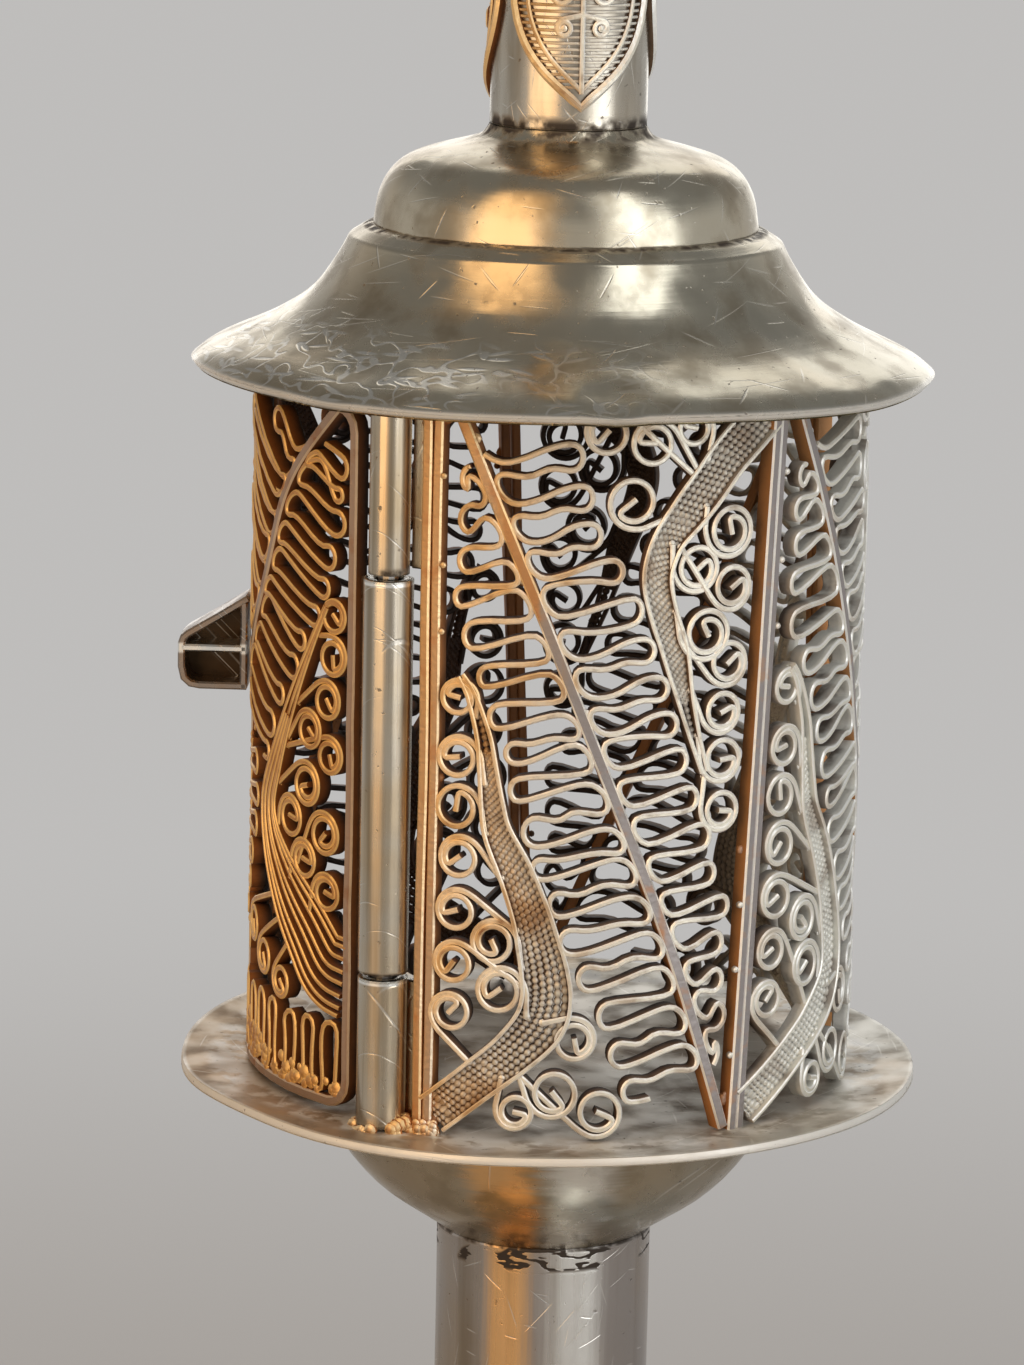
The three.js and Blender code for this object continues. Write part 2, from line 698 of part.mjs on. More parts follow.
function makeRoof(hoopTop) {
  const rim = stage(-roofRimDrop, hoopTop);
  const bell = [
    ...curve(
      [roofRimRadius, 0],
      [bellTopRadius + (roofRimRadius - bellTopRadius) / 3, bellHeight / 3],
      [bellTopRadius, bellHeight],
      bellSteps,
    ),
    [drumRadius + sheet / 2, bellHeight + bellLedgeHeight],
    [drumRadius - sheet * 2, bellHeight + bellLedgeHeight],
  ];
  add(rim, "roof_bell", raised(bell), polished);
  const ledge = stage(bellHeight + bellLedgeHeight, rim);
  const shoulder = drumSideHeight + drumShoulderHeight;
  const top = shoulder + drumNeckHeight;
  const drum = [
    [drumRadius, 0],
    ...curve(
      [drumRadius, drumSideHeight],
      [drumRadius, shoulder - sheet],
      [(drumRadius * 2 + spireRadius) / 3, shoulder],
    ),
    ...fillet(spireRadius, shoulder + sheet, top, sheet * 2),
  ];
  add(ledge, "roof_drum", raised(drum), polished);
  return stage(top, ledge);
}

// A pointed leaf standing on its tip: a raised outline with a midrib
function leafOf(azimuth) {
  const radius = spireRadius + leafRelief;
  const centre = arc(azimuth, radius);
  const at = (side) => ([across, up]) =>
    flat(centre + (side * across * leafWidth) / 2, leafFoot + up * leafLength);
  const [low, high] = [at(0)([0, 0]), at(0)([0, 1])];
  const outline = [low, ...leafShares.map(at(1)), high, ...leafShares.toReversed().map(at(-1))];
  const depth = leafRelief + sheet / 2;
  const flatWork = [
    ribbon(outline, leafWire, depth, true),
    ribbon([low, high], leafWire, depth),
  ];
  return bent(joined(flatWork), depth, radius);
}

function makeSpire(base) {
  const plain = tube(spireRadius, spireRadius - sheet, 0, spireTubeLength);
  const leaves = Array.from({ length: leafCount }, (_, i) => leafOf((i * 360) / leafCount));
  add(base, "spire_tube", joined([plain, ...leaves]), silver);
  const cone = curve(
    [spireRadius, 0],
    [spireRadius / 2, spireConeLength / 3],
    [spireTipRadius, spireConeLength],
  );
  const taper = stage(spireTubeLength, base);
  add(taper, "spire_cone", raised(cone), silver);
  const finial = stage(spireConeLength, taper);
  const cap = Math.asin(spireTipRadius / ballRadius);
  const rise = ballRadius * Math.cos(cap);
  const ball = Array.from({ length: curveSteps * 2 + 1 }, (_, i) => {
    const angle = THREE.MathUtils.lerp(cap, Math.PI - cap, i / (curveSteps * 2));
    return [ballRadius * Math.sin(angle), rise - ballRadius * Math.cos(angle)];
  });
  add(finial, "finial_ball", turned([[0, 0], ...ball, [0, rise * 2]], smallFacets), polished);
  const tip = [[0, 0], [tipRadius, 0], [tipRadius / 2, tipLength * 2 / 3], [0, tipLength]];
  add(stage(rise * 2, finial), "finial_tip", turned(tip, smallFacets), polished);
}

const plateTop = makePlate(makeStem(makeFoot(tower)));
const hoopTop = makeCage(plateTop);
makeHinge(plateTop, makeDoor(plateTop));
makeSpire(makeRoof(hoopTop));

export default tower;
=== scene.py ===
"""Looks of a silver filigree spice tower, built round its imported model.

Sizes are millimetres and azimuths degrees from -Y towards +X, until a piece is finished in metres.
Filigree is drawn flat, as across, up and out of the work, and then bent round the tower's axis.
"""

import logging
import math
import random
from dataclasses import dataclass, replace
from enum import Enum
from functools import cache, reduce
from typing import Sequence

import bmesh
import bpy
from mathutils import Matrix, Vector, noise


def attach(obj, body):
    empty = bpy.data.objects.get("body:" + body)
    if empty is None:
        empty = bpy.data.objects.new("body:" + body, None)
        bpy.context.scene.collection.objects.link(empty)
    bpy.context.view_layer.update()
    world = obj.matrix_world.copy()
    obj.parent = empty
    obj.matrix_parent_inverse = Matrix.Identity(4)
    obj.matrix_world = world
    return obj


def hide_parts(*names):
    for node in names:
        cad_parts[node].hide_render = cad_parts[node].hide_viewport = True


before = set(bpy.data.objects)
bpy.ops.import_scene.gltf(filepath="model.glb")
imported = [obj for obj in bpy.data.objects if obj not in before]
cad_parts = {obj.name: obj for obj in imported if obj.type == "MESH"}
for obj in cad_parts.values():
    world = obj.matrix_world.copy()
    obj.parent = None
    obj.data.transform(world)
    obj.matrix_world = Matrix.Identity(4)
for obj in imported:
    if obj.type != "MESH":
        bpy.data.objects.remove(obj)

log = logging.getLogger("spice_tower")
MM = 0.001

# Points closer than these merge, in a turned shell and in a finished piece, and shorter edges go
SEAM = 0.001
MERGED = 0.0008
SLIVER = 0.0004
# Edges steeper than these stay crisp, or are eased where a shell ends
CREASE = math.radians(38)
RIM_CREASE = math.radians(62)
# How little a flat face's tilt counts beside its place, where a shell's outside is found
TILT = 0.001
# How far a sheet's edge rises and falls, and how far it sinks
RIPPLE = 0.35
EDGE_DROP = 0.05
# A grain of silver, before it gets its size
GRAIN = {"u_segments": 8, "v_segments": 5, "radius": 0.5}

MATERIAL_END = "ShaderNodeOutputMaterial"
WORLD_END = "ShaderNodeOutputWorld"

Colour = tuple[float, float, float]
Line = list[Vector]
Shares = Sequence[tuple[float, float]]
Run = tuple[float, float, float]
Bands = tuple[tuple[float, float], ...]
Dents = tuple[tuple[float, float, float, float], ...]


class Body(Enum):
    """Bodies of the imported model."""

    TOWER = "tower"
    DOOR = "door"


class Slot(Enum):
    """Material slots of the record."""

    SILVER = "silver"
    POLISHED = "polished"
    FILIGREE = "filigree"


# Shaders


class Socket:
    """A node's output that does arithmetic by adding Math nodes."""

    def __init__(self, shader: "Shader", output: bpy.types.NodeSocket) -> None:
        """Keeps the shader that the output belongs to.

        Args:
            shader: The tree being written.
            output: The node output that this stands for.
        """
        self.shader = shader
        self.output = output

    def _math(self, operation: str, *values: "Socket | float") -> "Socket":
        """Returns a Math node on this and other values."""
        return self.shader.node("ShaderNodeMath", {"operation": operation}, dict(enumerate(values)))

    def __add__(self, other: "Socket | float") -> "Socket":
        """Returns the sum."""
        return self._math("ADD", self, other)

    __radd__ = __add__

    def __sub__(self, other: "Socket | float") -> "Socket":
        """Returns the difference."""
        return self._math("SUBTRACT", self, other)

    def __rsub__(self, other: "Socket | float") -> "Socket":
        """Returns the other value less this."""
        return self._math("SUBTRACT", other, self)

    def __mul__(self, other: "Socket | float") -> "Socket":
        """Returns the product."""
        return self._math("MULTIPLY", self, other)

    __rmul__ = __mul__

    def __truediv__(self, other: "Socket | float") -> "Socket":
        """Returns the quotient."""
        return self._math("DIVIDE", self, other)

    def __neg__(self) -> "Socket":
        """Returns this with its sign changed."""
        return self * -1.0

    def __abs__(self) -> "Socket":
        """Returns the size without its sign."""
        return self._math("ABSOLUTE", self)

    def root(self) -> "Socket":
        """Returns the square root."""
        return self._math("SQRT", self)

    def most(self, other: "Socket | float") -> "Socket":
        """Returns the larger of two values."""
        return self._math("MAXIMUM", self, other)

    def ramp(self, low: float, high: float) -> "Socket":
        """Returns a smooth step from 0 at low to 1 at high.

        Args:
            low: Value that gives 0.
            high: Value that gives 1, which may be the smaller one.

        Returns:
            The step.
        """
        span = {"From Min": min(low, high), "From Max": max(low, high)}
        step = self.shader.node(
            "ShaderNodeMapRange",
            {"interpolation_type": "SMOOTHSTEP"},
            {"Value": self, **span},
        )
        return step if high > low else 1.0 - step

    def near(self, level: float, width: float, soft: float) -> "Socket":
        """Returns a band round a level.

        Args:
            level: Value at its middle.
            width: Half its width.
            soft: Share of that width within which it is full.

        Returns:
            The mask, from 0 outside the band to 1 in its middle.
        """
        return abs(self - level).ramp(width, width * soft)


class Shader:
    """A node tree written as expressions on sockets."""

    def __init__(self, tree: bpy.types.NodeTree) -> None:
        """Takes over a tree and empties it.

        Args:
            tree: The tree of a material or of the world.
        """
        self.tree = tree
        tree.nodes.clear()

    def node(
        self,
        kind: str,
        settings: dict[str, object] | None = None,
        inputs: dict[str | int, object] | None = None,
        output: str | int = 0,
    ) -> Socket:
        """Adds one node.

        Args:
            kind: The node's type.
            settings: Properties that are set first.
            inputs: Values or sockets for its inputs.
            output: Which output to return.

        Returns:
            The chosen output.
        """
        made = self.tree.nodes.new(kind)
        for key, value in (settings or {}).items():
            setattr(made, key, value)
        for key, value in (inputs or {}).items():
            if isinstance(value, Socket):
                self.tree.links.new(value.output, made.inputs[key])
            else:
                wanted = made.inputs[key].default_value
                padded = (*value, 1.0) if hasattr(wanted, "__len__") and len(wanted) > len(value) else value
                made.inputs[key].default_value = padded
        return Socket(self, made.outputs[output])

    def mix(self, mask: Socket, under: "Socket | Colour", over: "Socket | Colour") -> Socket:
        """Returns one colour laid over another by a mask."""
        return self.node("ShaderNodeMix", {"data_type": "RGBA"}, {0: mask, 6: under, 7: over}, 2)

    def parts(self, vector: Socket) -> list[Socket]:
        """Returns the three numbers of a vector."""
        split = self.node("ShaderNodeSeparateXYZ", {}, {0: vector}).output.node
        return [Socket(self, part) for part in split.outputs]

    def seen(self) -> Socket:
        """Returns 1 for rays of the camera, of gloss and through glass, and 0 for those of light."""
        path = ("Is Camera Ray", "Is Glossy Ray", "Is Transmission Ray")
        return reduce(Socket.most, [self.node("ShaderNodeLightPath", output=name) for name in path])

    def close(self, surface: Socket, end: str) -> None:
        """Links a surface to an output node of the given type."""
        self.tree.links.new(surface.output, self.tree.nodes.new(end).inputs["Surface"])


class Surface(Shader):
    """A material's tree, with the places on the tower that its patterns read."""

    def __init__(self, name: str) -> None:
        """Starts an empty material.

        Args:
            name: The material's name.
        """
        self.material = bpy.data.materials.new(name)
        self.material.use_nodes = True
        super().__init__(self.material.node_tree)
        self.place = self.node("ShaderNodeTexCoord", output="Object")
        self.x, self.y, self.z = (part * (1 / MM) for part in self.parts(self.place))
        self.reach = (self.x * self.x + self.y * self.y).root()
        across, along, _ = self.parts(self.node("ShaderNodeTexCoord", output="Normal"))
        self.facing = (across * self.x + along * self.y) / self.reach
        self.turned = self.node("ShaderNodeMath", {"operation": "ARCTAN2"}, {0: self.x, 1: -self.y})

    def noise(self, grain: float, stretch: Colour = (1, 1, 1), detail: float = 3) -> Socket:
        """Returns a noise value.

        Args:
            grain: Size of its patches, in millimetres.
            stretch: How many times longer they are along each axis.
            detail: Octaves.

        Returns:
            The noise, from 0 to 1.
        """
        scale = tuple(1 / (grain * MM * s) for s in stretch)
        place = self.node("ShaderNodeVectorMath", {"operation": "MULTIPLY"}, {0: self.place, 1: scale})
        return self.node("ShaderNodeTexNoise", {}, {"Vector": place, "Scale": 1.0, "Detail": detail})

    def dashes(self, run: Run, thin: float, girth: float = 16.0) -> Socket:
        """Returns 1 on straight dashes scattered over a turned surface, and 0 between them.

        Args:
            run: Room for one dash across it and along it, in millimetres, and its slant, in degrees.
            thin: Its half width as a share of that room.
            girth: Radius at which the lengths hold.

        Returns:
            The mask.
        """
        width, length, slant = run
        flat = self.node("ShaderNodeCombineXYZ", {}, {0: self.turned * girth, 1: self.z - self.reach})
        turn = {"Vector": flat, "Rotation": (0, 0, math.radians(slant))}
        place = self.node("ShaderNodeMapping", {}, turn)
        scale = (1 / width, 1 / length, 1)
        place = self.node("ShaderNodeVectorMath", {"operation": "MULTIPLY"}, {0: place, 1: scale})
        cells = {"Vector": place, "Scale": 1.0}
        cell = self.node("ShaderNodeTexVoronoi", {"voronoi_dimensions": "2D"}, cells, "Distance")
        return cell.ramp(thin, thin * 0.4)

    def scattered(self, runs: Sequence[Run], thin: float) -> Socket:
        """Returns a mask of dashes that run several ways."""
        return reduce(Socket.most, [self.dashes(run, thin) for run in runs])

    def finish(
        self, colour: Socket, roughness: Socket, metallic: "Socket | float", height: Socket, relief: float
    ) -> bpy.types.Material:
        """Closes the material with a bumped surface.

        Args:
            colour: Base colour.
            roughness: Roughness.
            metallic: How metallic it is.
            height: Relief, from 0 to 1.
            relief: Depth of that relief, in millimetres.

        Returns:
            The material.
        """
        bump = self.node("ShaderNodeBump", {}, {"Strength": 1.0, "Distance": relief * MM, "Height": height})
        values = {"Base Color": colour, "Roughness": roughness, "Metallic": metallic, "Normal": bump}
        self.close(self.node("ShaderNodeBsdfPrincipled", {}, values), MATERIAL_END)
        return self.material


@dataclass(frozen=True)
class Sheet:
    """Worked silver sheet: rubbed bright, toned warm in patches and on its left, scratched, and black in the
    corners.
    The warmth on its left is toning and painted warm light together.

    Bands are heights with half widths. Painted highlights are azimuths with half widths and colours:
    upright bands painted on as reflections of the lamps. A ramp on a noise names the levels of that noise
    between which a mask rises.
    """

    name: str
    bright: Colour = (0.56, 0.54, 0.48)
    toned_and_warm_lit: Colour = (0.50, 0.35, 0.18)
    grime: Colour = (0.035, 0.024, 0.016)
    pale: Colour = (0.86, 0.84, 0.78)
    toning_and_warm_light: float = 0.45
    patch: float = 8.0
    toned_and_warm_lit_side: tuple[float, float] = (13, -16)
    smooth: float = 0.13
    rough: float = 0.3
    metal: float = 1.0
    scratch: float = 0.5
    scratches: tuple[Run, ...] = (
        (1.3, 46, 78), (1.1, 60, 62), (1.7, 40, -71), (1.9, 30, 24), (2.3, 34, -38), (1.5, 24, 95),
    )
    scratch_width: float = 0.05
    strokes: tuple[Run, ...] = ((1.7, 7, 60), (2.0, 6, -52), (1.9, 6, 85))
    stroke_width: float = 0.16
    drawn: float = 0.32
    streaks: Colour = (30, 30, 1)
    cloud: float = 3.2
    clouds: Colour = (1, 1, 1)
    cloudy: float = 0.35
    swell: float = 7.0
    wave: float = 1.6
    relief: float = 0.06
    pit: float = 0.5
    corners: Bands = ()
    cracks: Bands = ()
    highlit_lips: Bands = ()
    painted_highlights: tuple[tuple[float, float, Colour], ...] = ()
    crust: float = 0.0
    crust_width: float = 2.0
    rim: float = 0.0
    rubbed: float = 0.0

    def dirt(self, s: Surface) -> Socket:
        """Returns a mask of the grime.

        Args:
            s: The material being written.

        Returns:
            The mask, with its pits, corners and cracked solder.
        """
        mask = s.noise(self.pit, detail=2).ramp(0.69, 0.77) * 0.6
        for level, width in self.corners:
            mask = mask.most(s.z.near(level, width, 0.1) * s.noise(1.1, detail=4).ramp(0.34, 0.6))
        for level, width in self.cracks:
            band = s.z.near(level, width, 0.6) * s.noise(5.0, detail=1).ramp(0.44, 0.47)
            mask = mask.most(band * s.noise(1.5, (2.6, 2.6, 0.8), 3).near(0.5, 0.05, 0.7))
        return mask

    def rubs(self, s: Surface) -> Socket:
        """Returns a mask of the strokes that cover the front left of a wide rim.

        Args:
            s: The material being written.

        Returns:
            The mask, of wavy lines and straight dashes.
        """
        wavy = s.noise(2.4, detail=1).near(0.5, 0.024, 5 / 12)
        strokes = wavy.most(s.scattered(self.strokes, self.stroke_width))
        outside = s.reach.ramp(self.rubbed, self.rubbed + 2.5)
        return strokes * outside * s.noise(7).ramp(0.36, 0.5) * s.x.ramp(9, -2)

    @cache
    def material(self) -> bpy.types.Material:
        """Returns the finish as a material, which is made once."""
        s = Surface(self.name)
        patches = s.noise(self.patch).ramp(0.42, 0.72)
        # Warm toning in random patches, and warmer towards the left, where it is toning and painted warm
        # light
        warm = (patches * 0.6 + s.x.ramp(*self.toned_and_warm_lit_side) * 0.6) * self.toning_and_warm_light
        cloud = s.noise(self.cloud, self.clouds, 5)
        drawn = s.noise(self.drawn, self.streaks, 2)
        lines = s.scattered(self.scratches, self.scratch_width)
        dirt = self.dirt(s)
        colour = s.mix(warm, self.bright, self.toned_and_warm_lit)
        turned = s.turned * math.degrees(1) + (drawn - 0.5) * 8
        # Upright bands at the given azimuths, painted on as reflections of the lamps
        for azimuth, width, highlight_colour in self.painted_highlights:
            colour = s.mix(turned.near(azimuth, width, 0.3) * 0.85, colour, highlight_colour)
        colour = s.mix(cloud.ramp(0.45, 0.72) * self.cloudy, colour, tuple(c * 0.35 for c in self.toned_and_warm_lit))
        matt, worn = dirt, lines * 0.35
        if self.rim:
            matt = matt.most(s.reach.ramp(self.rim - 0.3, self.rim - 0.1) * 0.8)
            worn = worn.most(s.reach.ramp(self.rim - 0.45, self.rim - 0.1) * 0.8)
        if self.crust:
            chalk = s.noise(1.8, detail=5).ramp(0.42, 0.56) * s.reach.near(self.crust, self.crust_width, 0.3)
            colour = s.mix(chalk * 0.8, colour, tuple(c * 0.8 for c in self.pale))
            matt = matt.most(chalk)
        # Bright lines at the given heights: painted highlights where a lip catches the light
        for level, width in self.highlit_lips:
            worn = worn.most(s.z.near(level, width, 0.5))
        if self.rubbed:
            rubs = self.rubs(s)
            lines, worn = lines.most(rubs * 0.8), worn.most(rubs * 0.6)
        colour = s.mix(dirt, s.mix(worn, colour, self.pale), self.grime)
        roughness = self.smooth + (self.rough - self.smooth) * cloud.ramp(0.3, 0.7)
        roughness = roughness + drawn * 0.06 + dirt * 0.35
        height = drawn * 0.12 + s.noise(self.swell, detail=2) * self.wave
        height = height - lines * self.scratch * 0.4 - dirt * 0.3
        return s.finish(colour, roughness, self.metal * (1.0 - matt * 0.7), height, self.relief)


@dataclass(frozen=True)
class Openwork:
    """Filigree and strip: rubbed bright where it faces out, brown on its sides, black in the depth as tarnish
    and painted shade.
    """

    name: str
    outer: float = 21.0
    # How far in from the outer face the work turns black, as tarnish and painted shade
    depth: float = 1.2
    face: Colour = (0.80, 0.77, 0.66)
    face_toned_and_warm_lit: Colour = (0.70, 0.44, 0.19)
    edge: Colour = (0.97, 0.96, 0.91)
    edge_toned_and_warm_lit: Colour = (0.95, 0.68, 0.34)
    side: Colour = (0.17, 0.10, 0.055)
    side_toned_and_warm_lit: Colour = (0.23, 0.08, 0.02)
    side_lit_right: Colour = (0.88, 0.87, 0.80)
    tarnish_and_shade_black: Colour = (0.022, 0.010, 0.005)
    middle: float = 107.0
    tilt: float = 0.16
    toned_and_warm_lit_lean: tuple[float, float] = (9, -14)
    lit_right_side: tuple[float, float] = (8, 17)
    rough: float = 0.34
    metal: float = 0.45
    under_rough: float = 0.6
    under_metal: float = 0.25
    patch: float = 4.0
    grain: Colour = (1, 1, 1)
    relief: float = 0.04

    @cache
    def material(self) -> bpy.types.Material:
        """Returns the finish as a material, which is made once."""
        s = Surface(self.name)
        patch = s.noise(self.patch, self.grain, 4)
        worn = s.noise(1.3, detail=4)
        lean = s.x - (s.z - self.middle) * self.tilt
        # Warmer towards the left: toning, and painted light of the warm lamp
        warm = (lean.ramp(*self.toned_and_warm_lit_lean) * 0.95 + patch.ramp(0.45, 0.7) * 0.4 - 0.1).ramp(0.05, 0.95)
        # Sides lighter towards the right: painted light of the white lamp, which also lifts the black of the
        # depth
        lit_right = s.x.ramp(*self.lit_right_side) * (1.0 - patch.ramp(0.5, 0.65) * 0.6)
        out = s.facing.ramp(0.35, 0.62) * (s.reach + worn * 0.3).ramp(self.outer - 0.6, self.outer - 0.05)
        corner = out * s.facing.ramp(0.97, 0.8)
        # Black with depth into the work: tarnish in the recesses and painted shade
        deep = (s.reach + worn * 0.5 - 0.25).ramp(self.outer - self.depth, self.outer - 0.1)
        stain = patch.ramp(0.52, 0.7) * 0.5 + worn.ramp(0.55, 0.72) * 0.45
        face, edge = s.mix(warm, self.face, self.face_toned_and_warm_lit), s.mix(warm, self.edge, self.edge_toned_and_warm_lit)
        sides = s.mix(lit_right, s.mix(warm, self.side, self.side_toned_and_warm_lit), self.side_lit_right)
        under = s.mix(deep.most(lit_right * 0.7), self.tarnish_and_shade_black, sides)
        bare = out * (1.0 - stain * (1.0 - corner * 0.6))
        colour = s.mix(bare, under, s.mix(corner, face, edge))
        grain = s.noise(0.3, detail=3)
        roughness = self.under_rough - bare * (self.under_rough - self.rough) + grain * 0.1
        metallic = self.under_metal + bare * (self.metal - self.under_metal)
        return s.finish(colour, roughness, metallic, grain + patch * 0.6, self.relief)


Finish = Sheet | Openwork
# Colours of the lamps' reflections, painted as upright bands on the stem and the cup
GOLDEN_HIGHLIGHT, WHITE_HIGHLIGHT = (0.95, 0.55, 0.22), (0.95, 0.94, 0.89)
WIRES = Openwork("wire_silver")
STRIPS = Openwork(
    "strip_silver",
    depth=2.4,
    face=(0.34, 0.31, 0.30),
    face_toned_and_warm_lit=(0.46, 0.27, 0.12),
    side=(0.55, 0.24, 0.08),
    side_toned_and_warm_lit=(0.50, 0.19, 0.05),
    side_lit_right=(0.55, 0.28, 0.11),
    metal=0.7,
    grain=(0.5, 0.5, 8),
)


# Meshes


class Bench:
    """Turns finished meshes into pieces of the model."""

    @staticmethod
    def shown(name: str, work: bmesh.types.BMesh, dress: Finish, body: Body, slot: Slot, *nodes: str) -> None:
        """Makes a piece that stands for CAD nodes.

        Args:
            name: The piece's name.
            work: Its mesh, in millimetres. It is freed.
            dress: Its finish.
            body: The body that it rides on.
            slot: A slot of the record, which is not used.
            *nodes: CAD nodes that it replaces.
        """
        bmesh.ops.remove_doubles(work, verts=work.verts, dist=MERGED)
        bmesh.ops.dissolve_degenerate(work, edges=work.edges, dist=SLIVER)
        bmesh.ops.recalc_face_normals(work, faces=work.faces)
        bmesh.ops.scale(work, vec=(MM, MM, MM), verts=work.verts)
        data = bpy.data.meshes.new(name)
        work.to_mesh(data)
        work.free()
        data.shade_smooth()
        data.set_sharp_from_angle(angle=CREASE)
        data.materials.append(dress.material())
        piece = bpy.data.objects.new(name, data)
        bpy.context.scene.collection.objects.link(piece)
        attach(piece, body.value)
        if nodes:
            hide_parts(*nodes)
        log.info("%s: %d faces, for %s", name, len(data.polygons), ", ".join(nodes) or "no node")

    @staticmethod
    def joined(work: bmesh.types.BMesh, other: bmesh.types.BMesh) -> None:
        """Adds another mesh to a mesh.

        Args:
            work: The mesh that grows.
            other: The mesh that is added. It is freed.
        """
        held = bpy.data.meshes.new("joined")
        other.to_mesh(held)
        other.free()
        work.from_mesh(held)
        bpy.data.meshes.remove(held)

    @staticmethod
    def dressed(dress: Finish, *nodes: str) -> None:
        """Gives CAD nodes that stay a better material.

        Args:
            dress: Their finish.
            *nodes: Their names.
        """
        for name in nodes:
            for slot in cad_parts[name].material_slots:
                slot.material = dress.material()
            log.info("%s: dressed as packed", name)


@dataclass(frozen=True)
class Turning:
    """A shell of revolution.

    Its outer line is a smooth curve drawn towards control points, with a crisp corner where a point is
    given twice.
    """

    line: tuple[tuple[float, float], ...]
    wall: float
    level: float = 0.0
    steps: int = 96
    smooth: int = 5
    soft: float = 0.3

    def mesh(self) -> bmesh.types.BMesh:
        """Returns the shell's mesh, in millimetres."""
        points = [Vector((reach, 0, self.level + height)) for reach, height in self.line]
        work = Drawing.converted([Stroke(points, None, smooth=True, steps=self.smooth)])
        geometry = [*work.verts, *work.edges]
        turn = {"cent": (0, 0, 0), "axis": (0, 0, 1), "dvec": (0, 0, 0), "angle": math.tau}
        bmesh.ops.spin(work, geom=geometry, steps=self.steps, use_merge=True, use_duplicate=False, **turn)
        bmesh.ops.remove_doubles(work, verts=work.verts, dist=SEAM)
        bmesh.ops.recalc_face_normals(work, faces=work.faces)
        widest = max(work.faces, key=lambda face: face.calc_center_median().xy.length)
        middle = widest.calc_center_median()
        outward = widest.normal.xy.dot(middle.xy) + widest.normal.z * TILT
        if outward < 0:
            bmesh.ops.reverse_faces(work, faces=work.faces)
        if self.wall:
            bmesh.ops.solidify(work, geom=work.faces, thickness=self.wall)
            rims = [e for e in work.edges if len(e.link_faces) == 2 and e.calc_face_angle() > RIM_CREASE]
            ease = {"offset": self.wall * self.soft, "segments": 2, "profile": 0.5}
            bmesh.ops.bevel(work, geom=rims, affect="EDGES", material=-1, **ease)
        return work


@dataclass(frozen=True)
class Gauge:
    """Section of a drawn wire or strip, with its corners eased."""

    width: float
    depth: float
    corner: float = 0.1

    def profile(self) -> bpy.types.Object:
        """Returns the section as a closed curve that another curve can be bevelled with."""
        half, deep, ease = self.width / 2, self.depth / 2, min(self.corner, self.width / 3)
        quarter = [(half, deep - ease), (half, ease - deep), (half - ease, -deep), (ease - half, -deep)]
        points = quarter + [(-x, -y) for x, y in quarter]
        data = bpy.data.curves.new("gauge", "CURVE")
        spline = data.splines.new("POLY")
        spline.points.add(len(points) - 1)
        for point, (x, y) in zip(spline.points, points):
            point.co = (x, y, 0, 1)
        spline.use_cyclic_u = True
        made = bpy.data.objects.new("gauge", data)
        bpy.context.scene.collection.objects.link(made)
        return made


@dataclass
class Stroke:
    """One drawn line and how it is made up."""

    points: Line
    gauge: Gauge | None
    smooth: bool = True
    closed: bool = False
    swell: list[float] | None = None
    steps: int = 3


